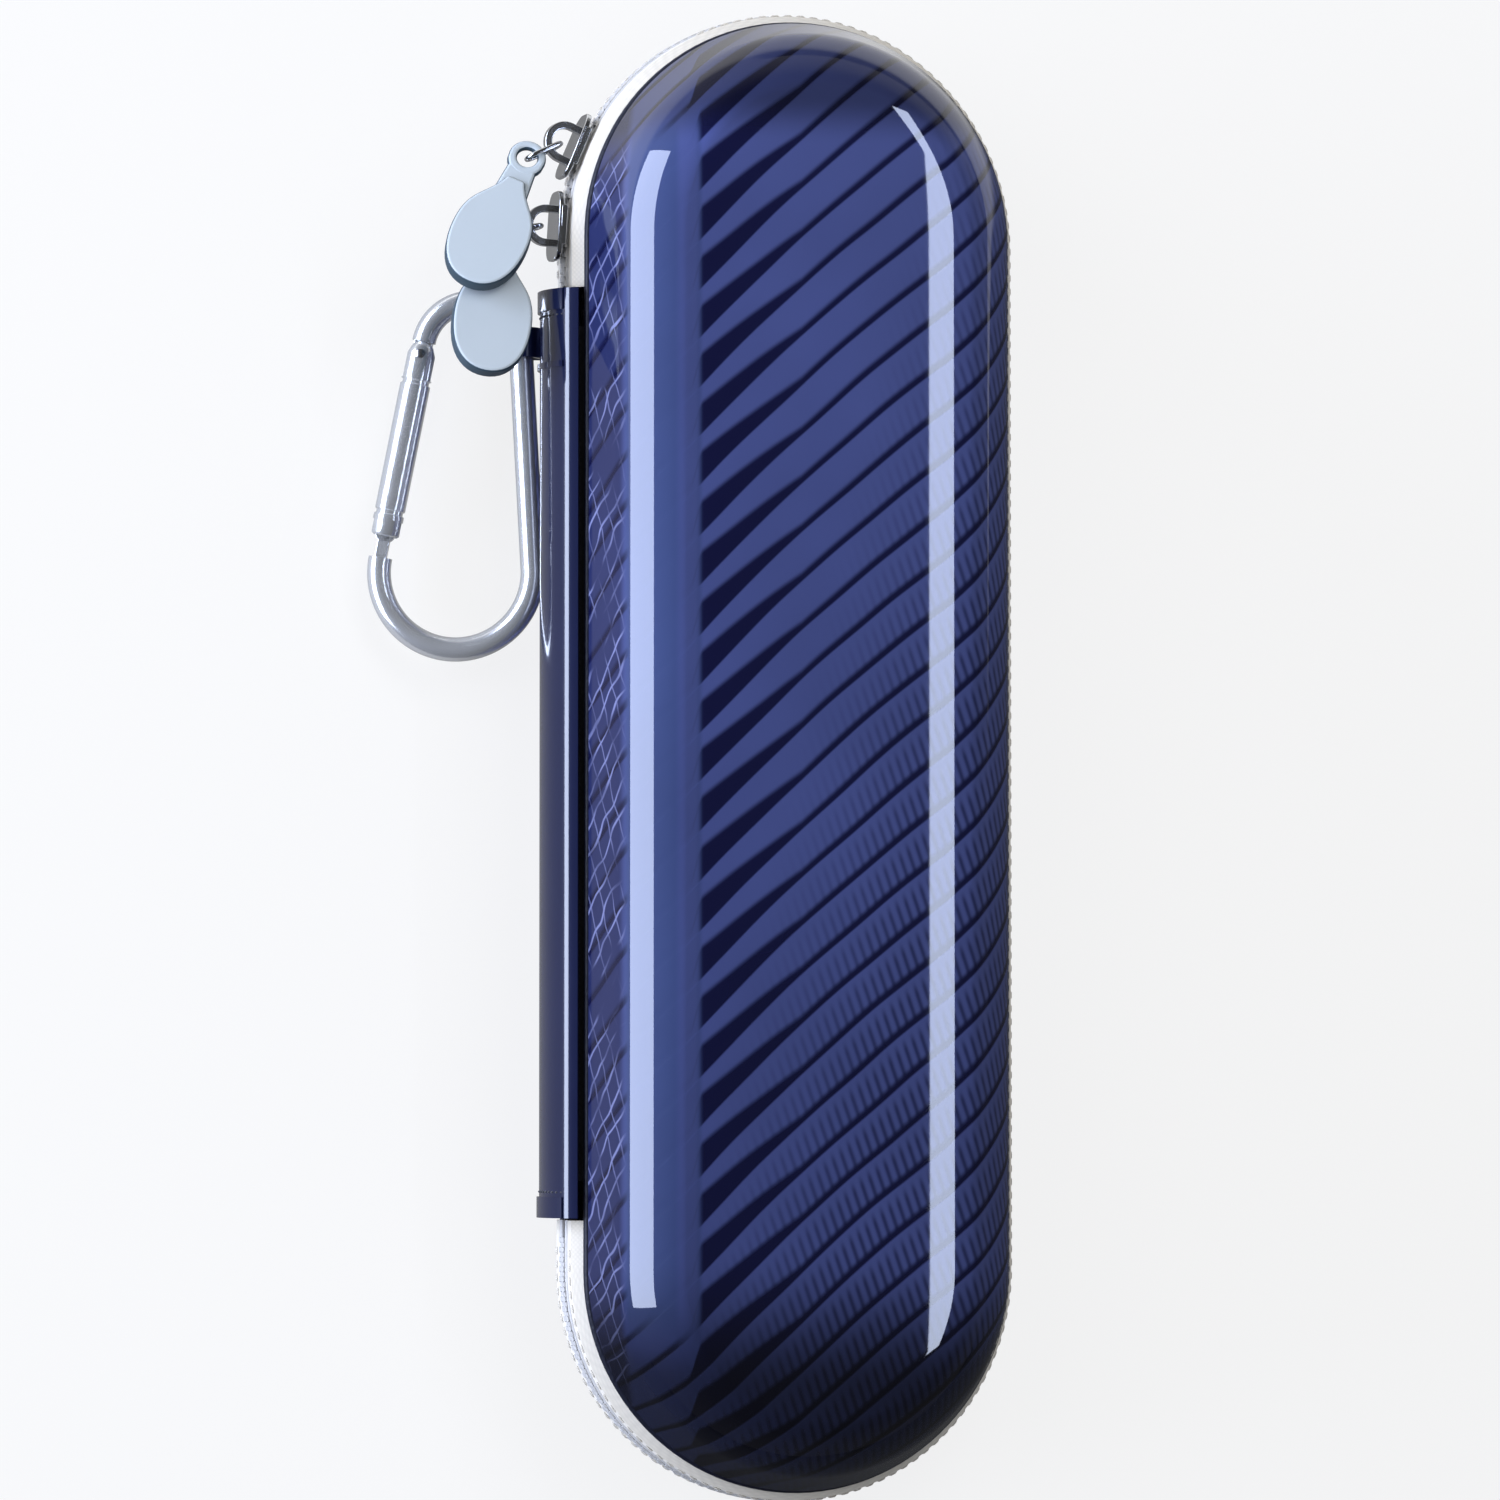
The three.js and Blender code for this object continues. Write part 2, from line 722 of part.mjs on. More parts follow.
// The gate is a tube, forked over the ear and slotted over the nose
function gateSolid() {
  const { pivot, nose } = gateEnds();
  const towards = nose.clone().sub(pivot).normalize();
  const from = (reach) => pivot.clone().addScaledVector(towards, reach);
  const beyond = (reach) => nose.clone().addScaledVector(towards, reach);
  const slotWidth = hookTongue + gateSlotGap * 2;
  const end = new THREE.SphereGeometry(gateRadius, arcSteps, arcSteps * half);
  const roundEnd = solidOf(end.rotateX(quarterTurn).translate(pivot.x, pivot.y, 0));
  const boreEnd = springTurns * springPitch + gateRadius + gatePinRadius * 4;
  return without(rod(gateRadius, arcSteps, pivot, nose).add(roundEnd), [
    bar(gateRadius * 4, slotWidth, from(-gateRadius - overrun), from(gateRadius + gatePinRadius * 2)),
    bar(gateRadius * 4, slotWidth, beyond(-hookWire - gateSlotGap * 2), beyond(overrun)),
    rod(gateBore, wireSides, pivot, from(boreEnd)),
    acrossHook(gatePinRadius + seatGap, gateRadius * 4, pivot),
  ]);
}

function gatePin() {
  return acrossHook(gatePinRadius, gateRadius * 2, gateEnds().pivot);
}

function gateSpring() {
  const { pivot, nose } = gateEnds();
  const towards = nose.clone().sub(pivot).normalize();
  const sideways = new THREE.Vector2(-towards.y, towards.x);
  const start = gateRadius + gatePinRadius * 2 + seatGap;
  const steps = springTurns * springStepsPerTurn;
  const points = [];
  for (let step = 0; step <= steps; step += 1) {
    const turn = (step / springStepsPerTurn) * fullTurn;
    const at = pivot.clone().addScaledVector(towards, start + (step / springStepsPerTurn) * springPitch);
    at.addScaledVector(sideways, springRadius * Math.cos(turn));
    points.push(point(at.x, at.y, springRadius * Math.sin(turn)));
  }
  return wireAlong(points, springWire, steps, springSides);
}

// Inside the case

// The room inside the linings, as a solid that trims the straps to their seats
function innerRoom(mirror) {
  const inset = shellWall + seatGap + liningThick + seatGap;
  const line = wallLine(inset, 0, 0);
  const deep = capsule([new THREE.Vector2(0, 0), ...line]);
  const placed = mirror ? deep.scale(1, 1, -1).translate(0, 0, backRimZ) : deep.translate(0, 0, frontRimZ);
  return solidOf(placed);
}

function handleStrap(middleY) {
  const reach = rimRadius;
  const top = backRimZ - strapThick * 2;
  const curve = new THREE.CatmullRomCurve3([
    point(-reach, top, 0),
    point(0, top - strapSag, 0),
    point(reach, top, 0),
  ]);
  return crossBand(curve, strapThick, strapWidth, middleY).intersect(innerRoom(true));
}

function headLoop() {
  const floor = shellWall + seatGap + liningThick + seatGap + strapThick * half;
  const end = headLoopSpan * half;
  const foot = end * headLoopFootShare;
  const side = end * headLoopSideShare;
  const level = floor + headLoopRise * headLoopLevelShare;
  const curve = new THREE.CatmullRomCurve3([
    point(-end, floor, 0),
    point(-foot, floor + strapThick, 0),
    point(-side, level, 0),
    point(0, floor + headLoopRise, 0),
    point(side, level, 0),
    point(foot, floor + strapThick, 0),
    point(end, floor, 0),
  ]);
  return crossBand(curve, strapThick, headLoopWidth, straightHalf - headLoopFromRoundEnd);
}

function netPocket() {
  const low = frontRimZ + netDrop;
  const sheet = box(
    point(-rimRadius, -straightHalf - rimRadius, low),
    point(rimRadius, netTop - seatGap, low + netThick),
  );
  return sheet.intersect(innerRoom(false));
}

function pocketHem() {
  const low = frontRimZ + netDrop + netThick * half - hemThick * half;
  const band = box(point(-rimRadius, netTop, low), point(rimRadius, netTop + hemHeight, low + hemThick));
  return band.intersect(innerRoom(false));
}

// Materials

function finish(colour, roughness, metalness) {
  return new THREE.MeshStandardMaterial({ color: colour, roughness, metalness });
}

const finishes = {
  twill: finish(0x27306e, 0.12, 0),
  lining: finish(0x1a1b22, 0.9, 0),
  binding: finish(0x0a0b14, 0.6, 0),
  tape: finish(0xdcdad8, 0.85, 0),
  coil: finish(0xd2d0ce, 0.5, 0),
  patent: finish(0x14194a, 0.15, 0),
  nickel: finish(0xb9bcc2, 0.25, 1),
  grip: finish(0xb7c5d2, 0.55, 0),
  aluminium: finish(0xd9dbde, 0.22, 1),
  steel: finish(0x9fa3a8, 0.3, 1),
  elastic: finish(0x15161b, 0.8, 0),
  net: finish(0x20222a, 0.9, 0),
};

// Assembly

const group = new THREE.Group();

function place(name, solid, material, matrix) {
  const mesh = new THREE.Mesh(geometryOf(solid), finishes[material]);
  mesh.name = name;
  if (matrix) mesh.applyMatrix4(matrix);
  group.add(mesh);
}

function moved(geometry, matrix) {
  return solidOf(geometry.applyMatrix4(matrix));
}

const upperSliderAt = sliderMatrix(upperSliderTurn);
const lowerSliderAt = sliderMatrix(lowerSliderTurn);
const necks = [moved(neckRoom(), upperSliderAt), moved(neckRoom(), lowerSliderAt)];

place('front_shell', frontTray(0, shellWall, 0), 'twill');
place('back_shell', backTray(0, shellWall, 0), 'twill');
place('front_lining', frontTray(shellWall + seatGap, liningThick, liningRimDrop), 'lining');
place('back_lining', backTray(shellWall + seatGap, liningThick, liningRimDrop), 'lining');
place('front_rim_binding', solidOf(capsule(bindingProfile())), 'binding');
place('back_rim_binding', solidOf(capsule(mirroredProfile(bindingProfile()))), 'binding');
place('front_zip_tape', frontTape(), 'tape');
place('front_zip_tape_end', frontTapeEnd(), 'tape');
place('back_zip_tape', backTape(), 'tape');
place('front_zip_teeth', without(toothRow(0), necks), 'coil');
place('back_zip_teeth', without(mirroredRow(toothRow(half)), necks), 'coil');
place('hinge_strip', spineStrip(), 'patent');
place('inner_hinge_tape', innerHingeTape(), 'lining');
place('hanging_loop', hangingLoop(), 'patent');
place('upper_slider', sliderSolid(), 'nickel', upperSliderAt);
place('lower_slider', sliderSolid(), 'nickel', lowerSliderAt);

// Each link turns on its slider's bridge, and each grip on its link
const upperLink = pullFrame(bridgeMiddle(upperSliderTurn), upperLinkLie);
const upperGrip = pullFrame(eyePlace(upperLink), upperGripLie);
const lowerLink = pullFrame(bridgeMiddle(lowerSliderTurn), lowerLinkLie);
const lowerGrip = pullFrame(eyePlace(lowerLink), lowerGripLie);

place('upper_pull_link', linkSolid(), 'nickel', upperLink);
place('upper_pull_grip', gripSolid(), 'grip', upperGrip);
place('lower_pull_link', linkSolid(), 'nickel', lowerLink);
place('lower_pull_grip', gripSolid(), 'grip', lowerGrip);

// The hook's leg lies in the loop, and the hook slopes down to its gate side
const hookLean = toRadians(hookTilt);
const hookX = loopX + hookHangAcross * Math.cos(hookLean);
const hookZ = loopZ + hookHangAcross * Math.sin(hookLean);
const hookFrame = new THREE.Matrix4().makeRotationY(-hookLean);
hookFrame.setPosition(hookX, loopY - hookHangAlong, hookZ);

place('carabiner_body', hookBody(), 'aluminium', hookFrame);
place('carabiner_gate', gateSolid(), 'aluminium', hookFrame);
place('gate_pin', gatePin(), 'steel', hookFrame);
place('gate_spring', gateSpring(), 'steel', hookFrame);

place('lower_handle_strap', handleStrap(lowerStrapPlace), 'elastic');
place('upper_handle_strap', handleStrap(upperStrapPlace), 'elastic');
place('brush_head_loop', headLoop(), 'elastic');
place('net_pocket', netPocket(), 'net');
place('pocket_hem', pocketHem(), 'elastic');

export default group;
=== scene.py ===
import json
import math

import bmesh
import bpy
from bpy.props import FloatProperty, FloatVectorProperty, IntProperty, PointerProperty
from mathutils import Matrix, Vector


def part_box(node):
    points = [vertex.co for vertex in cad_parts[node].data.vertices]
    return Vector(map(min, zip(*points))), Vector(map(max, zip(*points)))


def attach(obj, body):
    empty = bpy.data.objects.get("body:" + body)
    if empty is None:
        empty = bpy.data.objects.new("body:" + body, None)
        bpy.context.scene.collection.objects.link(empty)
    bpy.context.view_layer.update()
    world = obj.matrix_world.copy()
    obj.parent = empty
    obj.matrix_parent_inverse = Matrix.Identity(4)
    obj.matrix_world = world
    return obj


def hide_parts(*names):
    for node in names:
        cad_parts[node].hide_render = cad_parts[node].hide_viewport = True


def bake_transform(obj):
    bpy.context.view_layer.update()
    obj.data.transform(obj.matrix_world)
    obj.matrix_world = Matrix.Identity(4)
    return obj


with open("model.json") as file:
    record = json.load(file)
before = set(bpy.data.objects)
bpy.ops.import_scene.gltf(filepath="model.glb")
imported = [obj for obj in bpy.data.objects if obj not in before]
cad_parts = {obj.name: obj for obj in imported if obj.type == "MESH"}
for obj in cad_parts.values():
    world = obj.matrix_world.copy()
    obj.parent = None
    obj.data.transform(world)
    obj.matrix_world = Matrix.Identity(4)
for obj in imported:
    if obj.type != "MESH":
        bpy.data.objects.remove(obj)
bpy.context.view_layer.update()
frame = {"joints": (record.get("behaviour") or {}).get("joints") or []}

bl_info = {
    "name": "Toothbrush case dressing",
    "version": (1, 0, 0),
    "blender": (4, 5, 0),
    "location": "3D View > Sidebar > Case",
    "description": "Builds the fine surface of a zipped travel case with its pulls and snap hook",
    "category": "Object",
}

# Measures read from the frame, in metres
FRONT_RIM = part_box("front_shell")[0].z
BACK_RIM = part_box("back_shell")[1].z
SHELL_HEIGHT = BACK_RIM
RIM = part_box("front_shell")[1].x
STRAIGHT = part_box("front_shell")[1].y - RIM
PARTING = (FRONT_RIM + BACK_RIM) / 2
MESHED_TOP = PARTING + 0.0025
UNDER_RIM = FRONT_RIM - 0.0008
ROW_OUT = 0.0014
ROW = RIM + ROW_OUT
SPINE_CLEAR = 0.0004
SPINE_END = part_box("hinge_strip")[1].y + SPINE_CLEAR
LOOP_LOW, LOOP_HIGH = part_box("hanging_loop")
LOOP_MIDDLE_IN = 0.004
JOINTS = {joint["name"]: joint for joint in frame["joints"]}
GAP = 0.0003
SIDE_FREE = 0.0002
CORNERS = ((-1, -1), (1, -1), (1, 1), (-1, 1))

# How the pulls lie: heading round Z, rise and lean, in degrees
UPPER_LINK_LIE = (-155, 1, -8)
LOWER_LINK_LIE = (-169.5, -2, -4)
UPPER_GRIP_LIE = (-118.5, 14, -17.5)
LOWER_GRIP_LIE = (-102, 15, -8)
HELD_END_TURN = math.radians(35)
BRIDGE_BASE = 0.0037
LINK_REACH = 0.007
NECK_HALF = 0.0021


def slider_turn(joint):
    """The turn round the upper end at which a slider's bridge stands."""
    x, y, _ = JOINTS[joint]["pos_m"]
    return math.atan2(y - STRAIGHT, -x)


UPPER_SLIDER_TURN = slider_turn("upper_link_swing")
LOWER_SLIDER_TURN = slider_turn("lower_link_swing")


def measure(name, description, default):
    return FloatProperty(name=name, description=description, default=default, subtype="DISTANCE",
                         unit="LENGTH")


class CaseSizes(bpy.types.PropertyGroup):
    """Sizes that shape the dressing."""
    wall: measure("Shell wall", "Thickness of the shells", 0.0022)
    draft: measure("Wall draft", "How far the wall leans in over its straight part", 0.0024)
    wall_rise: measure("Wall rise", "Height of the straight part of the wall", 0.007)
    face_inset: measure("Face inset", "How far in from the rim the face starts", 0.012)
    crown: measure("Face crown", "Rise of the front face at its middle", 0.0009)
    wall_ease: measure("Wall ease", "How softly the wall turns into the shoulder", 0.0045)
    face_ease: measure("Face ease", "How softly the shoulder turns into the face", 0.0025)
    tooth_pitch: measure("Tooth pitch", "Distance from one zip tooth to the next", 0.0016)
    stitch: measure("Stitch length", "Length of one stitch", 0.0022)
    twill_pitch: measure("Twill pitch", "Distance between two twill lines", 0.006)
    turn_steps: IntProperty(name="Steps per round end", description="Fineness of the round ends",
                            default=56, min=8)


def colour(name, description, default):
    return FloatVectorProperty(name=name, description=description, default=default, size=3,
                               subtype="COLOR", min=0, max=1)


class CaseColours(bpy.types.PropertyGroup):
    """Colours of the finishes."""
    twill_light: colour("Twill stripe", "Middle of a twill stripe", (0.05, 0.066, 0.2))
    # Painted reflection: a plain band on the left shoulder, and below it its lighter half, a painted
    # highlight
    twill_painted_reflection: colour("Painted reflection band", "Plain band on the left shoulder", (0.03, 0.046, 0.13))
    twill_painted_highlight: colour("Band sheen", "Lighter half of the band", (0.043, 0.057, 0.165))
    twill_net: colour("Wall yarns", "Crossed yarns on the left wall", (0.16, 0.175, 0.34))
    twill_dark: colour("Twill line", "Line between two twill stripes", (0.002, 0.003, 0.03))
    patent: colour("Patent sheet", "Glossy hinge strip and loop", (0.006, 0.009, 0.036))
    binding: colour("Binding", "Piping round the rims", (0.006, 0.007, 0.018))
    tape: colour("Zip tape", "Woven tape of the zip", (0.7, 0.65, 0.56))
    teeth: colour("Zip teeth", "Moulded nylon teeth", (0.5, 0.49, 0.48))
    lining: colour("Lining", "Knitted lining and elastics", (0.018, 0.019, 0.026))
    nickel: colour("Nickel", "Plated sliders and links", (0.62, 0.63, 0.65))
    # The grip's faces and edges are lit and shaded copies of one moulding: the dark edge colour is painted
    # shade
    grip: colour("Grip face", "Faces of the moulded pulls", (0.43, 0.48, 0.51))
    grip_painted_shade: colour("Grip edge", "Edges of the moulded pulls", (0.03, 0.055, 0.075))
    aluminium: colour("Aluminium", "Drawn wire of the hook", (0.86, 0.87, 0.88))
    steel: colour("Steel", "Pin and spring of the gate", (0.5, 0.5, 0.52))


def sizes():
    return bpy.context.scene.case_sizes


def tint(name):
    return (*getattr(bpy.context.scene.case_colours, name), 1)


# Shader groups and materials

def feed(tree, socket, value):
    """Links another node's output to the socket, or sets a plain value on it."""
    if isinstance(value, bpy.types.NodeSocket):
        tree.links.new(value, socket)
    else:
        socket.default_value = value


def add_node(tree, kind, settings=None, **inputs):
    """A node with its settings, and its inputs set or linked by name with spaces for underscores."""
    node = tree.nodes.new(kind)
    for key, value in (settings or {}).items():
        setattr(node, key, value)
    for key, value in inputs.items():
        feed(tree, node.inputs[key.replace("_", " ")], value)
    return node


def calc(tree, operation, *values):
    node = tree.nodes.new("ShaderNodeMath")
    node.operation = operation
    for socket, value in zip(node.inputs, values):
        feed(tree, socket, value)
    return node.outputs[0]


def blend_colour(tree, factor, first, second, mode="MIX"):
    node = tree.nodes.new("ShaderNodeMix")
    node.data_type = "RGBA"
    node.blend_type = mode
    for number, value in ((0, factor), (6, first), (7, second)):
        feed(tree, node.inputs[number], value)
    return node.outputs[2]


def shaded(tree, base, value):
    """The base colour times a value."""
    grey = add_node(tree, "ShaderNodeCombineColor", Red=value, Green=value, Blue=value)
    return blend_colour(tree, 1.0, base, grey.outputs[0], "MULTIPLY")


def new_group(name, inputs, outputs):
    """An empty node group with float inputs, a Vector among them, and float outputs."""
    tree = bpy.data.node_groups.new(name, "ShaderNodeTree")
    for label in inputs:
        kind = "NodeSocketVector" if label == "Vector" else "NodeSocketFloat"
        tree.interface.new_socket(label, in_out="INPUT", socket_type=kind)
    for label in outputs:
        tree.interface.new_socket(label, in_out="OUTPUT", socket_type="NodeSocketFloat")
    return tree, tree.nodes.new("NodeGroupInput").outputs, tree.nodes.new("NodeGroupOutput").inputs


def put_group(tree, name, **inputs):
    node = tree.nodes.new("ShaderNodeGroup")
    node.node_tree = bpy.data.node_groups[name]
    for key, value in inputs.items():
        feed(tree, node.inputs[key.replace("_", " ")], value)
    return node.outputs


def wave(tree, value, per_metre):
    """A sine from 0 to 1 along a value in metres."""
    turned = calc(tree, "MULTIPLY", value, calc(tree, "MULTIPLY", per_metre, math.tau))
    return calc(tree, "MULTIPLY_ADD", calc(tree, "SINE", turned), 0.5, 0.5)


def build_weave_group():
    """Crossing threads: their height, and a shade that darkens between them."""
    names = ["Vector", "Threads per metre", "Contrast"]
    tree, given, made = new_group("Woven threads", names, ["Height", "Shade"])
    split = add_node(tree, "ShaderNodeSeparateXYZ", Vector=given["Vector"])
    rate = given["Threads per metre"]
    along = wave(tree, split.outputs[0], rate)
    across = wave(tree, split.outputs[1], rate)
    under = calc(tree, "MULTIPLY", calc(tree, "SUBTRACT", 1.0, along), calc(tree, "SUBTRACT", 1.0, across))
    height = calc(tree, "MAXIMUM", calc(tree, "MULTIPLY", along, across), under)
    tree.links.new(height, made["Height"])
    depth = calc(tree, "SUBTRACT", 1.0, height)
    darker = calc(tree, "MULTIPLY", depth, given["Contrast"])
    tree.links.new(calc(tree, "SUBTRACT", 1.0, darker), made["Shade"])


def build_mottle_group():
    """Soft uneven tone: a value about 1 that varies by the amount, and a finer grain height."""
    tree, given, made = new_group("Uneven tone", ["Vector", "Scale", "Amount"], ["Value", "Grain"])
    broad = add_node(tree, "ShaderNodeTexNoise", Vector=given["Vector"], Scale=given["Scale"], Detail=3.0)
    fine = add_node(tree, "ShaderNodeTexNoise", Vector=given["Vector"],
                    Scale=calc(tree, "MULTIPLY", given["Scale"], 9.0), Detail=4.0)
    centred = calc(tree, "SUBTRACT", broad.outputs[0], 0.5)
    tree.links.new(calc(tree, "MULTIPLY_ADD", centred, given["Amount"], 1.0), made["Value"])
    tree.links.new(fine.outputs[0], made["Grain"])


def smooth(tree, value, start, end):
    """0 at the start, 1 at the end, eased between."""
    eased = add_node(tree, "ShaderNodeMapRange", {"interpolation_type": "SMOOTHSTEP"},
                     Value=value, From_Min=start, From_Max=end)
    return eased.outputs[0]


def thin_lines(tree, value, spacing, width):
    """Fine lines across a value in metres: 1 on the line, 0 between."""
    share = calc(tree, "FRACT", calc(tree, "DIVIDE", value, spacing))
    return smooth(tree, calc(tree, "ABSOLUTE", calc(tree, "SUBTRACT", share, 0.5)), width, width * 0.3)


# Where the twill's parts start and end: u outward from the axis, v along the case
# From WEDGE_THIN to WEDGE_FULL the twill lines widen towards the left shoulder: a painted dark reflection
WEDGE_THIN, WEDGE_FULL, WEDGE_END = -0.005, -0.0215, -0.0235
# BAND_SIDES and BAND_ENDS bound a painted reflection on the left shoulder, SHEEN_SIDES its lighter half, a
# painted highlight
BAND_SIDES = (-0.0212, -0.0226), (-0.036, -0.034)
SHEEN_SIDES = (-0.0215, -0.0228), (-0.0262, -0.0247)
BAND_ENDS = (0.106, 0.099), (-0.098, -0.09)
# Outward of WALL_EDGE the left wall is darkened with painted shade
WALL_EDGE = (-0.0345, -0.0365)
# Painted shade: the shell darkens towards the round ends
DARK_TOP, DARK_TOP_DEPTH = (0.098, 0.106), 0.62
DARK_BOTTOM, DARK_BOTTOM_DEPTH = (-0.08, -0.103), 0.84
TICKS_PER_METRE = 620.0


def between(tree, value, first, second):
    """1 where both eased steps have been passed."""
    return calc(tree, "MULTIPLY", smooth(tree, value, *first), smooth(tree, value, *second))


def build_twill_group():
    """Diagonal twill as pressed over the shell, with u from the axis outward and v along the case.

    Stripe is 1 on a stripe and 0 on the line between, which widens towards the left shoulder as a
    painted dark reflection. Band is a painted reflection, a plain band on that shoulder, and Sheen its
    lighter half, a painted highlight. Wall is the left wall, which the material darkens with painted
    shade, Net its crossed yarns, Ticks the fine yarns that show towards the lower right, and Tone gives
    the painted shade: darker towards the round ends and towards the bottom.
    """
    names = ["Vector", "Pitch", "Line share", "Wide line share"]
    results = ["Stripe", "Ticks", "Band", "Sheen", "Wall", "Net", "Painted shade", "Height"]
    tree, given, made = new_group("Diagonal twill", names, results)
    split = add_node(tree, "ShaderNodeSeparateXYZ", Vector=given["Vector"])
    u, v = split.outputs[0], split.outputs[1]
    wobble = add_node(tree, "ShaderNodeTexNoise", Vector=given["Vector"], Scale=34.0, Detail=1.0)
    shift = calc(tree, "MULTIPLY", calc(tree, "SUBTRACT", wobble.outputs[0], 0.5), 0.0013)
    held = calc(tree, "MINIMUM", calc(tree, "MAXIMUM", u, -0.024), 0.02)
    bend = calc(tree, "MULTIPLY", calc(tree, "MULTIPLY", held, held), 4.0)
    slope = calc(tree, "SUBTRACT", v, calc(tree, "MULTIPLY", u, 0.87))
    across = calc(tree, "ADD", calc(tree, "MULTIPLY", calc(tree, "ADD", slope, bend), 0.755), shift)
    share = calc(tree, "FRACT", calc(tree, "DIVIDE", across, given["Pitch"]))
    # Painted dark reflection: the lines widen towards the left shoulder
    wedge = add_node(tree, "ShaderNodeMapRange", Value=u, From_Min=WEDGE_THIN,
                     From_Max=WEDGE_FULL).outputs[0]
    reach = calc(tree, "MULTIPLY", wedge, smooth(tree, u, WEDGE_END, WEDGE_FULL))
    wider = calc(tree, "SUBTRACT", given["Wide line share"], given["Line share"])
    width = calc(tree, "MULTIPLY_ADD", reach, wider, given["Line share"])
    edge = calc(tree, "SUBTRACT", share, width)
    stripe = calc(tree, "MULTIPLY", smooth(tree, edge, -0.07, 0.09), smooth(tree, share, 1.0, 0.93))
    run = calc(tree, "ADD", calc(tree, "MULTIPLY", u, 0.94), calc(tree, "MULTIPLY", v, 0.34))
    lean = calc(tree, "SUBTRACT", u, calc(tree, "MULTIPLY", v, 0.22))
    shown = calc(tree, "MULTIPLY", smooth(tree, lean, -0.008, 0.024), smooth(tree, share, 0.95, 0.55))
    ticks = calc(tree, "MULTIPLY", calc(tree, "POWER", wave(tree, run, TICKS_PER_METRE), 1.5), shown)
    # Painted reflection on the left shoulder, and its lighter half, a painted highlight
    straight = between(tree, v, *BAND_ENDS)
    band = calc(tree, "MULTIPLY", between(tree, u, *BAND_SIDES), straight)
    sheen = calc(tree, "MULTIPLY", between(tree, u, *SHEEN_SIDES), straight)
    # Mask of the left wall, which the material darkens with painted shade
    wall = smooth(tree, u, *WALL_EDGE)
    curl = add_node(tree, "ShaderNodeTexNoise", Vector=given["Vector"], Scale=150.0, Detail=1.0)
    sway = calc(tree, "MULTIPLY", calc(tree, "SUBTRACT", curl.outputs[0], 0.5), 0.005)
    climb = calc(tree, "SUBTRACT", v, calc(tree, "MULTIPLY", u, 1.3))
    rising = thin_lines(tree, calc(tree, "ADD", sway, climb), 0.0048, 0.1)
    falling = thin_lines(tree, calc(tree, "ADD", calc(tree, "MULTIPLY", u, 2.6), calc(tree, "ADD", v, sway)),
                         0.0085, 0.07)
    patchy = add_node(tree, "ShaderNodeTexNoise", Vector=given["Vector"], Scale=90.0, Detail=2.0)
    shown_net = calc(tree, "MULTIPLY", wall, smooth(tree, patchy.outputs[0], 0.38, 0.6))
    net = calc(tree, "MULTIPLY", calc(tree, "MAXIMUM", rising, calc(tree, "MULTIPLY", falling, 0.6)),
               shown_net)
    # Painted shade: darker towards the round ends, and along the case darker towards the bottom
    ends = calc(tree, "MAXIMUM", calc(tree, "MULTIPLY", smooth(tree, v, *DARK_TOP), DARK_TOP_DEPTH),
                calc(tree, "MULTIPLY", smooth(tree, v, *DARK_BOTTOM), DARK_BOTTOM_DEPTH))
    along = calc(tree, "MULTIPLY_ADD", v, 1.1, 0.93)
    tone = calc(tree, "MULTIPLY", calc(tree, "SUBTRACT", 1.0, ends), along)
    height = calc(tree, "MULTIPLY_ADD", ticks, 0.5, stripe)
    for name, value in zip(results, (stripe, ticks, band, sheen, wall, net, tone, height)):
        tree.links.new(value, made[name])


def build_brushed_group():
    """Fine drawn lines and small wear: a roughness and a height."""
    tree, given, made = new_group("Drawn lines", ["Vector", "Roughness", "Wear"], ["Roughness", "Height"])
    stretched = add_node(tree, "ShaderNodeMapping", Vector=given["Vector"], Scale=(4.0, 0.5, 4.0))
    lines = add_node(tree, "ShaderNodeTexNoise", Vector=stretched.outputs[0], Scale=900.0, Detail=2.0)
    rubbed = add_node(tree, "ShaderNodeTexNoise", Vector=given["Vector"], Scale=240.0, Detail=5.0)
    worn = calc(tree, "MULTIPLY", calc(tree, "SUBTRACT", rubbed.outputs[0], 0.45), given["Wear"])
    tree.links.new(calc(tree, "ADD", given["Roughness"], worn), made["Roughness"])
    tree.links.new(lines.outputs[0], made["Height"])


def new_material(name, **constants):
    """A material, its tree and its Principled node, with constants on the node's own sockets."""
    material = bpy.data.materials.new(name)
    material.use_nodes = True
    tree = material.node_tree
    shader = tree.nodes["Principled BSDF"]
    for key, value in constants.items():
        shader.inputs[key.replace("_", " ")].default_value = value
    return material, tree, shader


def place_of(tree, kind="Object"):
    return tree.nodes.new("ShaderNodeTexCoord").outputs[kind]


def dress(tree, shader, surface, height, distance, strength=1.0):
    """The surface's colour, and its relief from a height."""
    tree.links.new(surface, shader.inputs["Base Color"])
    bump = add_node(tree, "ShaderNodeBump", Height=height, Distance=distance, Strength=strength)
    tree.links.new(bump.outputs[0], shader.inputs["Normal"])


def toned(tree, base, vector, scale, amount):
    """The base colour with uneven tone, and the group's grain."""
    tone = put_group(tree, "Uneven tone", Vector=vector, Scale=scale, Amount=amount)
    return shaded(tree, base, tone["Value"]), tone["Grain"]


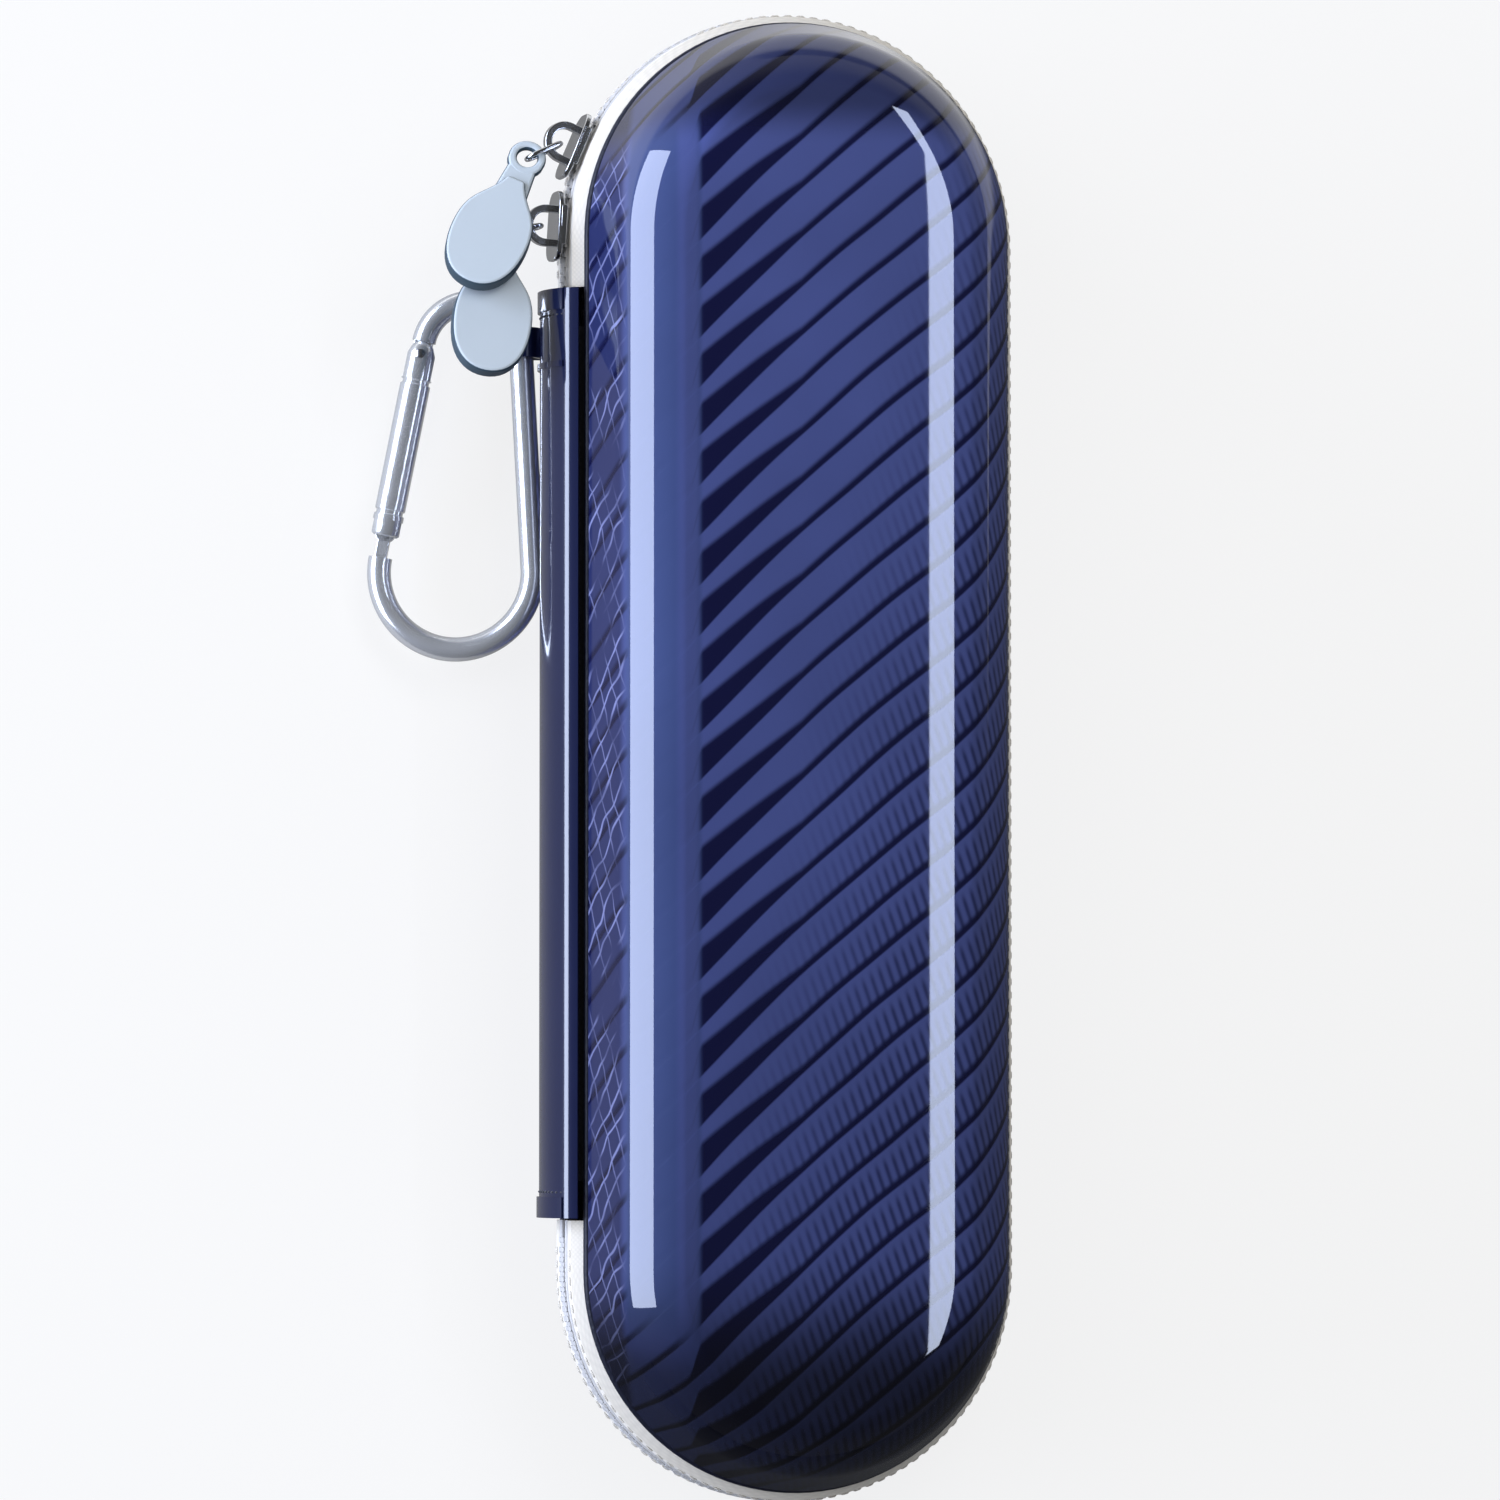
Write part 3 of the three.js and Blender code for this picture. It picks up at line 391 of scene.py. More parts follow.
def twill_material():
    material, tree, shader = new_material("Twill laminate", Roughness=0.5, Coat_Weight=1.0,
                                          Coat_Roughness=0.02, Coat_IOR=1.52, Specular_IOR_Level=0.06)
    vector = place_of(tree, "UV")
    twill = put_group(tree, "Diagonal twill", Vector=vector, Pitch=sizes().twill_pitch,
                      Line_share=0.13, Wide_line_share=0.6)
    print_colour = blend_colour(tree, twill["Stripe"], tint("twill_dark"), tint("twill_light"))
    ticked = blend_colour(tree, calc(tree, "MULTIPLY", twill["Ticks"], 0.7), print_colour, tint("twill_dark"))
    # Painted reflection: the plain band on the left shoulder
    with_painted_reflection = blend_colour(tree, twill["Band"], ticked, tint("twill_painted_reflection"))
    # Painted highlight: the band's lighter half
    lit = blend_colour(tree, twill["Sheen"], with_painted_reflection, tint("twill_painted_highlight"))
    # Painted shade: the left wall darkened towards the twill's line colour
    wall_darkened_by_painted_shade = blend_colour(tree, calc(tree, "MULTIPLY", twill["Wall"], 0.75), lit, tint("twill_dark"))
    netted = blend_colour(tree, twill["Net"], wall_darkened_by_painted_shade, tint("twill_net"))
    uneven, _ = toned(tree, netted, vector, 26.0, 0.5)
    # Painted shade: darker towards the round ends and towards the bottom
    dress(tree, shader, shaded(tree, uneven, twill["Painted shade"]), twill["Height"], 0.00005, 0.5)
    return material


def cloth_material(name, base, per_metre, roughness, contrast=0.4, kind="Object"):
    material, tree, shader = new_material(name, Roughness=roughness, Sheen_Weight=0.25, Sheen_Roughness=0.5)
    vector = place_of(tree, kind)
    weave = put_group(tree, "Woven threads", Vector=vector, Threads_per_metre=per_metre, Contrast=contrast)
    toned_colour, _ = toned(tree, base, vector, 60.0, 0.2)
    dress(tree, shader, shaded(tree, toned_colour, weave["Shade"]), weave["Height"], 0.00012, contrast)
    return material


def patent_material():
    material, tree, shader = new_material("Navy patent", Roughness=0.3, Coat_Weight=1.0, Coat_Roughness=0.09,
                                          Coat_IOR=1.6, Specular_IOR_Level=0.08)
    base, grain = toned(tree, tint("patent"), place_of(tree), 45.0, 0.35)
    dress(tree, shader, base, grain, 0.00008, 0.5)
    return material


def leather_material():
    material, tree, shader = new_material("Dark binding", Roughness=0.5, Specular_IOR_Level=0.3)
    vector = place_of(tree)
    base, grain = toned(tree, tint("binding"), vector, 90.0, 0.3)
    cells = add_node(tree, "ShaderNodeTexVoronoi", Vector=vector, Scale=1500.0)
    dress(tree, shader, base, calc(tree, "ADD", cells.outputs[0], grain), 0.00006)
    return material


def metal_material(name, base, roughness, wear, metallic=1.0):
    material, tree, shader = new_material(name, Metallic=metallic)
    vector = place_of(tree)
    lines = put_group(tree, "Drawn lines", Vector=vector, Roughness=roughness, Wear=wear)
    toned_base, _ = toned(tree, base, vector, 120.0, 0.08)
    tree.links.new(lines["Roughness"], shader.inputs["Roughness"])
    dress(tree, shader, toned_base, lines["Height"], 0.000012, 0.5)
    return material


def grip_material(name, base):
    material, tree, shader = new_material(name, Specular_IOR_Level=0.4)
    vector = place_of(tree)
    base, grain = toned(tree, base, vector, 55.0, 0.1)
    tree.links.new(calc(tree, "MULTIPLY_ADD", grain, 0.14, 0.42), shader.inputs["Roughness"])
    dress(tree, shader, base, grain, 0.00004, 0.6)
    return material


def nylon_material():
    material, tree, shader = new_material("Moulded nylon", Roughness=0.38)
    base, grain = toned(tree, tint("teeth"), place_of(tree), 80.0, 0.12)
    dress(tree, shader, base, grain, 0.00003)
    return material


def elastic_material():
    material, tree, shader = new_material("Woven elastic", Roughness=0.8, Sheen_Weight=0.2)
    vector = place_of(tree)
    split = add_node(tree, "ShaderNodeSeparateXYZ", Vector=vector)
    ribs = wave(tree, split.outputs[1], 620.0)
    weave = put_group(tree, "Woven threads", Vector=vector, Threads_per_metre=1500.0, Contrast=0.4)
    base, _ = toned(tree, tint("lining"), vector, 70.0, 0.3)
    lit = blend_colour(tree, calc(tree, "MULTIPLY", ribs, 0.35), base, (0.09, 0.09, 0.1, 1))
    dress(tree, shader, lit, calc(tree, "MULTIPLY_ADD", weave["Height"], 0.3, ribs), 0.00025)
    return material


def net_material():
    material, tree, shader = new_material("Knitted net", Roughness=0.75)
    vector = place_of(tree)
    split = add_node(tree, "ShaderNodeSeparateXYZ", Vector=vector)
    rising = calc(tree, "ADD", split.outputs[0], split.outputs[1])
    falling = calc(tree, "SUBTRACT", split.outputs[0], split.outputs[1])
    holes = calc(tree, "MULTIPLY", wave(tree, rising, 330.0), wave(tree, falling, 330.0))
    solid = calc(tree, "LESS_THAN", holes, 0.34)
    base, _ = toned(tree, tint("lining"), vector, 90.0, 0.25)
    tree.links.new(solid, shader.inputs["Alpha"])
    dress(tree, shader, base, holes, 0.0002)
    return material


def make_materials():
    build_weave_group()
    build_mottle_group()
    build_twill_group()
    build_brushed_group()
    return {
        "twill": twill_material(),
        "lining": cloth_material("Knitted lining", tint("lining"), 900.0, 0.85),
        "tape": cloth_material("Woven tape", tint("tape"), 1300.0, 0.8, 0.1, "UV"),
        "thread": cloth_material("Sewing thread", tint("lining"), 2500.0, 0.6),
        "pale_thread": cloth_material("Pale sewing thread", tint("tape"), 2500.0, 0.6),
        "binding": leather_material(),
        "patent": patent_material(),
        "nickel": metal_material("Bright nickel", tint("nickel"), 0.16, 0.1),
        "aluminium": metal_material("Drawn aluminium", tint("aluminium"), 0.2, 0.12, 0.82),
        "steel": metal_material("Plain steel", tint("steel"), 0.28, 0.15),
        "grip": grip_material("Moulded grip face", tint("grip")),
        # The edge material is the grip's shaded copy: painted shade
        "grip_painted_shade": grip_material("Moulded grip edge", tint("grip_painted_shade")),
        "teeth": nylon_material(),
        "elastic": elastic_material(),
        "net": net_material(),
    }


# Finish to material, filled by main
FINISH = {}


# Mesh helpers

def add_object(name, data):
    made = bpy.data.objects.new(name, data)
    bpy.context.scene.collection.objects.link(made)
    return made


def axes(x, y, z):
    """A turn that sends the axes to three directions."""
    return Matrix((x, y, z)).transposed().to_4x4()


def facing(away):
    """The turn of a lamp or camera that looks back along a direction."""
    side = Vector((0, 1, 0)).cross(away).normalized()
    return axes(side, away.cross(side), away)


def mesh_object(name, bm, finish, sharp=40.0):
    """An object from a bmesh, with its normals outward and smooth shading up to an angle."""
    bmesh.ops.recalc_face_normals(bm, faces=bm.faces)
    mesh = bpy.data.meshes.new(name)
    bm.to_mesh(mesh)
    bm.free()
    for face in mesh.polygons:
        face.use_smooth = True
    mesh.set_sharp_from_angle(angle=math.radians(sharp))
    mesh.materials.append(FINISH[finish])
    return add_object(name, mesh)


def settle(made, body, slot, *nodes):
    """The piece rides on its body and hides the nodes it stands for; the slot is not used."""
    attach(made, body)
    if nodes:
        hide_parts(*nodes)
    return made


def soften(made, width, steps=3, angle=30.0):
    bevel = made.modifiers.new("Soft edges", "BEVEL")
    bevel.width = width
    bevel.segments = steps
    bevel.limit_method = "ANGLE"
    bevel.angle_limit = math.radians(angle)
    bevel.harden_normals = True
    return made


def bezier(start, first, second, end, steps):
    """Points of a cubic curve, the start left out."""
    points = []
    for step in range(1, steps + 1):
        t = step / steps
        s = 1 - t
        weights = (s ** 3, 3 * s * s * t, 3 * s * t * t, t ** 3)
        parts = (w * Vector(p) for w, p in zip(weights, (start, first, second, end)))
        points.append(sum(parts, Vector((0, 0))))
    return points


def offset_ribbon(line, thick):
    """The outline of a ribbon of even thickness along an open line in a plane."""
    near, far = [], []
    for number, at in enumerate(line):
        before = line[max(number - 1, 0)]
        after = line[min(number + 1, len(line) - 1)]
        along = (after - before).normalized()
        side = Vector((along.y, -along.x)) * thick / 2
        near.append(at + side)
        far.append(at - side)
    return near + far[::-1]


def whole_round():
    """Stations round the whole capsule: the end's middle line and the turn of the outward side."""
    steps = sizes().turn_steps
    sides = 14
    top = [(STRAIGHT, math.pi * (1 - step / steps)) for step in range(steps + 1)]
    down = [(STRAIGHT * (1 - 2 * step / sides), 0.0) for step in range(1, sides)]
    low = [(-STRAIGHT, -math.pi * step / steps) for step in range(steps + 1)]
    up = [(-STRAIGHT * (1 - 2 * step / sides), math.pi) for step in range(1, sides)]
    return top + down + low + up


ZIP_SIDE = STRAIGHT - SPINE_END
ZIP_ARC = math.pi * ROW
ZIP_LENGTH = 2 * (ZIP_SIDE + ZIP_ARC + STRAIGHT)


def zip_station(along):
    """The station at a distance along the zip, from the spine's upper end over the top and round."""
    if along < ZIP_SIDE:
        return SPINE_END + along, math.pi
    along -= ZIP_SIDE
    if along < ZIP_ARC:
        return STRAIGHT, math.pi - along / ROW
    along -= ZIP_ARC
    if along < 2 * STRAIGHT:
        return STRAIGHT - along, 0.0
    along -= 2 * STRAIGHT
    if along < ZIP_ARC:
        return -STRAIGHT, -along / ROW
    return -STRAIGHT + along - ZIP_ARC, math.pi


# The front row stays meshed as far as the upper slider, then leaves the back row with the lid
HELD_END = ZIP_SIDE + HELD_END_TURN * ROW
TURN_RUN = 0.017
TURNED_END = HELD_END + TURN_RUN


def ride_turning(made, whole_height):
    """The piece's transform is baked into its mesh; the values worked out here for its passage from the base
    to the lid are not used.
    """
    rise = UNDER_RIM - MESHED_TOP
    middle = zip_station((HELD_END + TURNED_END) / 2)[1]
    along = Vector((math.sin(middle), -math.cos(middle), 0))
    start = at_station(zip_station(HELD_END), ROW, MESHED_TOP)
    steep = along / TURN_RUN
    if whole_height:
        steep += Vector((0, 0, 1)) / rise
    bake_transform(made)


def zip_run(start, end, spacing=0.0025):
    count = max(2, math.ceil((end - start) / spacing))
    return [zip_station(start + (end - start) * step / count) for step in range(count + 1)]


def at_station(station, radius, height):
    base, turn = station
    return Vector((radius * math.cos(turn), base + radius * math.sin(turn), height))


def sweep(name, profile, stations, finish, closed_round, sharp=40.0):
    """A closed profile of (radius, height) carried through the stations, its cloth mapped flat."""
    bm = bmesh.new()
    mapping = bm.loops.layers.uv.new("Cloth")
    rings = [[bm.verts.new(at_station(station, p[0], p[1])) for p in profile] for station in stations]
    runs = [0.0]
    for a, b in zip(profile, profile[1:]):
        runs.append(runs[-1] + (Vector(b) - Vector(a)).length)
    flat = {}
    for station, ring in zip(stations, rings):
        for vert, run in zip(ring, runs):
            flat[vert] = at_station(station, run, 0.0).xy
    pairs = list(zip(rings, rings[1:])) + ([(rings[-1], rings[0])] if closed_round else [])
    count = len(profile)
    for first, second in pairs:
        for number in range(count):
            if profile[number][0] == 0 and profile[(number + 1) % count][0] == 0:
                continue
            after = (number + 1) % count
            face = bm.faces.new((first[number], first[after], second[after], second[number]))
            for loop in face.loops:
                loop[mapping].uv = flat[loop.vert]
    if not closed_round:
        bm.faces.new(rings[0])
        bm.faces.new(rings[-1][::-1])
    bmesh.ops.remove_doubles(bm, verts=bm.verts, dist=0.000002)
    bmesh.ops.dissolve_degenerate(bm, edges=bm.edges, dist=0.000001)
    return mesh_object(name, bm, finish, sharp)


def join(bm, low, high):
    """Faces between two rings of the same count."""
    for number in range(len(low)):
        after = (number + 1) % len(low)
        bm.faces.new((low[number], low[after], high[after], high[number]))


def oval(radius, height, wide, high, count):
    """A small oval profile of (radius, height)."""
    turns = (math.tau * number / count for number in range(count))
    return [(radius + wide * math.cos(t), height + high * math.sin(t)) for t in turns]


def prism(bm, outline, depth, matrix):
    """A flat outline made solid along its frame's Z, centred on it."""
    low = [bm.verts.new(matrix @ Vector((x, y, -depth / 2))) for x, y in outline]
    high = [bm.verts.new(matrix @ Vector((x, y, depth / 2))) for x, y in outline]
    bm.faces.new(low[::-1])
    bm.faces.new(high)
    join(bm, low, high)


def ring_prism(bm, inner, outer, depth, matrix):
    """A flat ring made solid: inner and outer outlines have the same count."""
    rows = []
    for outline, z in ((inner, -depth / 2), (outer, -depth / 2), (outer, depth / 2), (inner, depth / 2)):
        rows.append([bm.verts.new(matrix @ Vector((x, y, z))) for x, y in outline])
    for number in range(len(inner)):
        after = (number + 1) % len(inner)
        for row in range(4):
            below = rows[row]
            above = rows[(row + 1) % 4]
            bm.faces.new((below[number], below[after], above[after], above[number]))


def lathe(bm, profile, matrix, sides=40):
    """A profile of (radius, height) turned about its frame's Z, closed at both ends."""
    rings = []
    for radius, height in profile:
        ring = []
        for side in range(sides):
            turn = math.tau * side / sides
            at = Vector((radius * math.cos(turn), radius * math.sin(turn), height))
            ring.append(bm.verts.new(matrix @ at))
        rings.append(ring)
    for low, high in zip(rings, rings[1:]):
        join(bm, low, high)
    bm.faces.new(rings[0][::-1])
    bm.faces.new(rings[-1])


def circle(radius, count):
    return oval(0, 0, radius, radius, count)


def rounded_box(length, width, corner, steps=6):
    """Outline of a rectangle with round corners, length along Y."""
    points = []
    for number, (sx, sy) in enumerate(((1, 1), (-1, 1), (-1, -1), (1, -1))):
        for step in range(steps + 1):
            turn = math.pi / 2 * (number + step / steps)
            points.append((sx * (width / 2 - corner) + corner * math.cos(turn),
                           sy * (length / 2 - corner) + corner * math.sin(turn)))
    return points


def wire_object(name, points, radius, finish, cyclic=False):
    """A round wire along points."""
    curve = bpy.data.curves.new(name, "CURVE")
    curve.dimensions = "3D"
    curve.bevel_depth = radius
    curve.bevel_resolution = 5
    curve.resolution_u = 4
    curve.use_fill_caps = True
    spline = curve.splines.new("POLY")
    spline.points.add(len(points) - 1)
    for target, at in zip(spline.points, points):
        target.co = (*at, 1)
    spline.use_cyclic_u = cyclic
    spline.use_smooth = True
    curve.materials.append(FINISH[finish])
    return add_object(name, curve)


def threads(name, places, finish, radius=0.00022):
    """Stitches, each a small spindle from one place to another."""
    bm = bmesh.new()
    for start, end, out in places:
        along = end - start
        side = along.cross(out).normalized() * radius
        up = out.normalized() * radius
        middle = (start + end) / 2
        tips = [bm.verts.new(start), bm.verts.new(end)]
        waist = [bm.verts.new(middle + along * shift + offset)
                 for shift in (-0.25, 0.25) for offset in (side, up, -side, -up)]
        for number in range(4):
            after = (number + 1) % 4
            bm.faces.new((tips[0], waist[number], waist[after]))
            bm.faces.new((waist[number], waist[4 + number], waist[4 + after], waist[after]))
            bm.faces.new((tips[1], waist[4 + after], waist[4 + number]))
    return mesh_object(name, bm, finish, 80.0)


def cut(made, cutter):
    """The object less the cutter, with the cutter removed."""
    difference = made.modifiers.new("Cut", "BOOLEAN")
    difference.operation = "DIFFERENCE"
    difference.solver = "EXACT"
    difference.object = cutter
    bpy.context.view_layer.update()
    fresh = bpy.data.meshes.new_from_object(made.evaluated_get(bpy.context.evaluated_depsgraph_get()))
    made.modifiers.clear()
    made.data = fresh
    bpy.data.objects.remove(cutter)
    return made


def cross_band(name, line, thick, low, high, finish, steps=24):
    """A band whose cross line of (x, z) runs along Y from low to high."""
    bm = bmesh.new()
    outline = offset_ribbon(line, thick)
    rings = []
    for step in range(steps + 1):
        y = low + (high - low) * step / steps
        rings.append([bm.verts.new((p.x, y, p.y)) for p in outline])
    for first, second in zip(rings, rings[1:]):
        join(bm, first, second)
    bm.faces.new(rings[0])
    bm.faces.new(rings[-1][::-1])
    return mesh_object(name, bm, finish)


# Shells, linings and piping

def shell_line(inset, crown, drop=0.0):
    """The wall and face of a shell from rim to middle, as (radius, height above the rim)."""
    s = sizes()
    top = SHELL_HEIGHT - inset
    radius = RIM - inset
    side = Vector((radius - s.draft, s.wall_rise))
    face = Vector((radius - s.face_inset, top - crown))
    up = (side - Vector((radius, 0))).normalized() * s.wall_ease
    slope = Vector((1, -2 * crown / face.x)).normalized() * s.face_ease
    points = [Vector((radius, drop)), Vector((radius - s.draft / 2, s.wall_rise / 2)), side]
    points += bezier(side, side + up, face + slope, face, 18)
    rows = 8
    for row in range(1, rows + 1):
        share = 1 - row / rows
        points.append(Vector((face.x * share, top - crown * share * share)))
    return points


def shell_profile(inset, thick, crown, drop=0.0):
    outer = shell_line(inset, crown, drop)[::-1]
    inner = shell_line(inset + thick, crown, drop)
    lip = thick / 5
    edge_out = [Vector((outer[-1].x, drop + lip)), Vector((outer[-1].x - lip, drop))]
    edge_in = [Vector((inner[0].x + lip, drop)), Vector((inner[0].x, drop + lip))]
    return outer[:-1] + edge_out + edge_in + inner[1:]


def tray(name, profile, front, finish):
    if front:
        placed = [(p.x, FRONT_RIM + p.y) for p in profile]
    else:
        placed = [(p.x, BACK_RIM - p.y) for p in profile]
    return sweep(name, placed, whole_round(), finish, True)


class CASE_OT_shells(bpy.types.Operator):
    """Front and back shells in glossy twill laminate"""
    bl_idname = "case.shells"
    bl_label = "Shells"

    def execute(self, context):
        s = sizes()
        front = tray("front_shell_laminate", shell_profile(0, s.wall, s.crown), True, "twill")
        settle(front, "lid", "twill_shell", "front_shell")
        back = tray("back_shell_laminate", shell_profile(0, s.wall, 0), False, "twill")
        settle(back, "base", "twill_shell", "back_shell")
        return {"FINISHED"}


class CASE_OT_linings(bpy.types.Operator):
    """Knitted linings, with a rolled hem round their edges"""
    bl_idname = "case.linings"
    bl_label = "Linings"

    def execute(self, context):
        s = sizes()
        inset = s.wall + GAP
        thick = 0.0008
        drop = 0.0006
        for front, body in ((True, "lid"), (False, "base")):
            word = "front" if front else "back"
            crown = s.crown if front else 0
            cloth = tray(f"{word}_lining_knit", shell_profile(inset, thick, crown, drop), front, "lining")
            settle(cloth, body, "lining", f"{word}_lining")
            self.edge(word, front, body, inset + thick)
        return {"FINISHED"}

    def edge(self, word, front, body, inset):
        """A flat rolled hem round the lining's inner edge."""
        from_rim, inward = 0.0019, 0.0007
        height = FRONT_RIM + from_rim if front else BACK_RIM - from_rim
        profile = oval(RIM - inset - inward, height, 0.0003, 0.0012, 10)
        hem = sweep(f"{word}_lining_hem", profile, whole_round(), "elastic", True)
        settle(hem, body, "lining")


class CASE_OT_piping(bpy.types.Operator):
    """Dark piping round both rims"""
    bl_idname = "case.piping"
    bl_label = "Rim piping"

    def execute(self, context):
        radius = 0.00075
        middle = RIM - radius / 2
        for word, height, body in (("front", FRONT_RIM - GAP - radius, "lid"),
                                   ("back", BACK_RIM + GAP + radius, "base")):
            profile = oval(middle, height, radius, radius, 16)
            bead = sweep(f"{word}_piping", profile, whole_round(), "binding", True)
            settle(bead, body, "binding", f"{word}_rim_binding")
        return {"FINISHED"}


# Zip

TAPE_THICK = 0.0007
TAPE_TUCK = 0.0022


def tape_line():
    """The tape's line from under the front rim to the row, as (radius, height)."""
    tucked = Vector((RIM - TAPE_TUCK, FRONT_RIM - GAP - TAPE_THICK / 2))
    bend = Vector((RIM - TAPE_TUCK, PARTING + 0.0063))
    upright = Vector((ROW, PARTING + 0.0041))
    low = Vector((ROW, PARTING + 0.0023))
    first = tucked.lerp(bend, 0.66)
    second = upright.lerp(bend, 0.66)
    return [tucked] + bezier(tucked, first, second, upright, 8) + [upright.lerp(low, 0.5), low]


def across_parting(points):
    return [Vector((p.x, 2 * PARTING - p.y)) for p in points]


class CASE_OT_tapes(bpy.types.Operator):
    """Pale woven zip tapes, with their sewing"""
    bl_idname = "case.tapes"
    bl_label = "Zip tapes"

    def execute(self, context):
        front = [tuple(p) for p in offset_ribbon(tape_line(), TAPE_THICK)]
        back = [tuple(p) for p in offset_ribbon(across_parting(tape_line()), TAPE_THICK)]
        long_run = sweep("front_tape_cloth", front, zip_run(TURNED_END, ZIP_LENGTH), "tape", False)
        settle(long_run, "lid", "zip_tape", "front_zip_tape")
        turning = sweep("front_tape_turning", front, zip_run(HELD_END, TURNED_END), "tape", False)
        ride_turning(turning, True)
        lower = sweep("back_tape_cloth", back, zip_run(0, ZIP_LENGTH), "tape", False)
        settle(lower, "base", "zip_tape", "back_zip_tape")
        end = sweep("front_tape_end_cloth", front, zip_run(0, HELD_END), "tape", False)
        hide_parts("front_zip_tape_end")
        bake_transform(end)
        self.seams()
        return {"FINISHED"}

    def seams(self):
        """Two rows of sewing, one on each tape, close to the piping."""
        radius = ROW + 0.00042
        from_parting, end_free = 0.0038, 0.002
        for word, height, start, body in (("front", PARTING + from_parting, TURNED_END + end_free, "lid"),
                                          ("back", PARTING - from_parting, end_free, "base")):
            places = []
            at = start
            while at + sizes().stitch < ZIP_LENGTH - end_free:
                first = zip_station(at)
                second = zip_station(at + sizes().stitch * 0.72)
                out = at_station(first, 1.0, 0) - at_station(first, 0.0, 0)
                places.append((at_station(first, radius, height), at_station(second, radius, height), out))
                at += sizes().stitch
            row = threads(f"{word}_tape_sewing", places, "pale_thread", 0.0002)
            settle(row, body, "zip_tape")


def tooth_rings(sign):
    """Widths along and across the row of one tooth, by height from the parting plane."""
    return [(sign * 0.0016, 0.0009, 0.0014), (sign * 0.0007, 0.0006, 0.0012),
            (-sign * 0.0001, 0.001, 0.0014), (-sign * 0.0005, 0.0006, 0.001)]


class CASE_OT_teeth(bpy.types.Operator):
    """Two rows of moulded teeth on a cord, open where the sliders' necks pass"""
    bl_idname = "case.teeth"
    bl_label = "Zip teeth"

    def execute(self, context):
        back = self.row("back", -1, 0.5, 0, ZIP_LENGTH)
        for made in back:
            settle(made, "base", "zip_teeth")
        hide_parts("back_zip_teeth")
        for made in self.row("front_held", 1, 0.0, 0, HELD_END):
            settle(made, "base", "zip_teeth")
        for made in self.row("front_turning", 1, 0.0, HELD_END, TURNED_END):
            ride_turning(made, False)
        front = self.row("front", 1, 0.0, TURNED_END, ZIP_LENGTH)
        for made in front:
            settle(made, "lid", "zip_teeth")
        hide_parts("front_zip_teeth")
        return {"FINISHED"}

    def row(self, word, sign, phase, start, end):
        """The teeth and the cord of one row, between two distances along the zip."""
        height = PARTING + sign * 0.0015
        profile = oval(ROW, height, 0.00055, 0.00042, 10)
        cord = sweep(f"{word}_teeth_cord", profile, zip_run(start, end), "teeth", False)
        return [self.teeth(f"{word}_teeth", sign, phase, start, end), cord]

    def teeth(self, name, sign, phase, start, end):
        bm = bmesh.new()
        pitch = sizes().tooth_pitch
        necks = [ZIP_SIDE + turn * ROW for turn in (UPPER_SLIDER_TURN, LOWER_SLIDER_TURN)]
        for number in range(int(ZIP_LENGTH / pitch) - 1):
            along = (number + 0.5 + phase) * pitch
            if not start <= along < end or min(abs(along - neck) for neck in necks) < NECK_HALF:
                continue
            self.tooth(bm, along, sign)
        return mesh_object(name, bm, "teeth", 50.0)

    def tooth(self, bm, along, sign):
        station = zip_station(along)
        turn = station[1]
        out = Vector((math.cos(turn), math.sin(turn), 0))
        side = Vector((-out.y, out.x, 0))
        rings = []
        for height, wide, deep in tooth_rings(sign):
            middle = at_station(station, ROW, PARTING + height)
            rings.append([bm.verts.new(middle + side * sx * wide / 2 + out * sy * deep / 2)
                          for sx, sy in CORNERS])
        for low, high in zip(rings, rings[1:]):
            join(bm, low, high)
        bm.faces.new(rings[0])
        bm.faces.new(rings[-1][::-1])


# Hinge strip and hanging loop

def spine_line(edge, crest, low, high, steps=28):
    """A bulging line of (x, z) between the rims."""
    points = []
    for step in range(steps + 1):
        share = step / steps
        bulge = math.sin(math.pi * share) ** 0.5
        points.append(Vector((edge + (crest - edge) * bulge, low + (high - low) * share)))
    return points


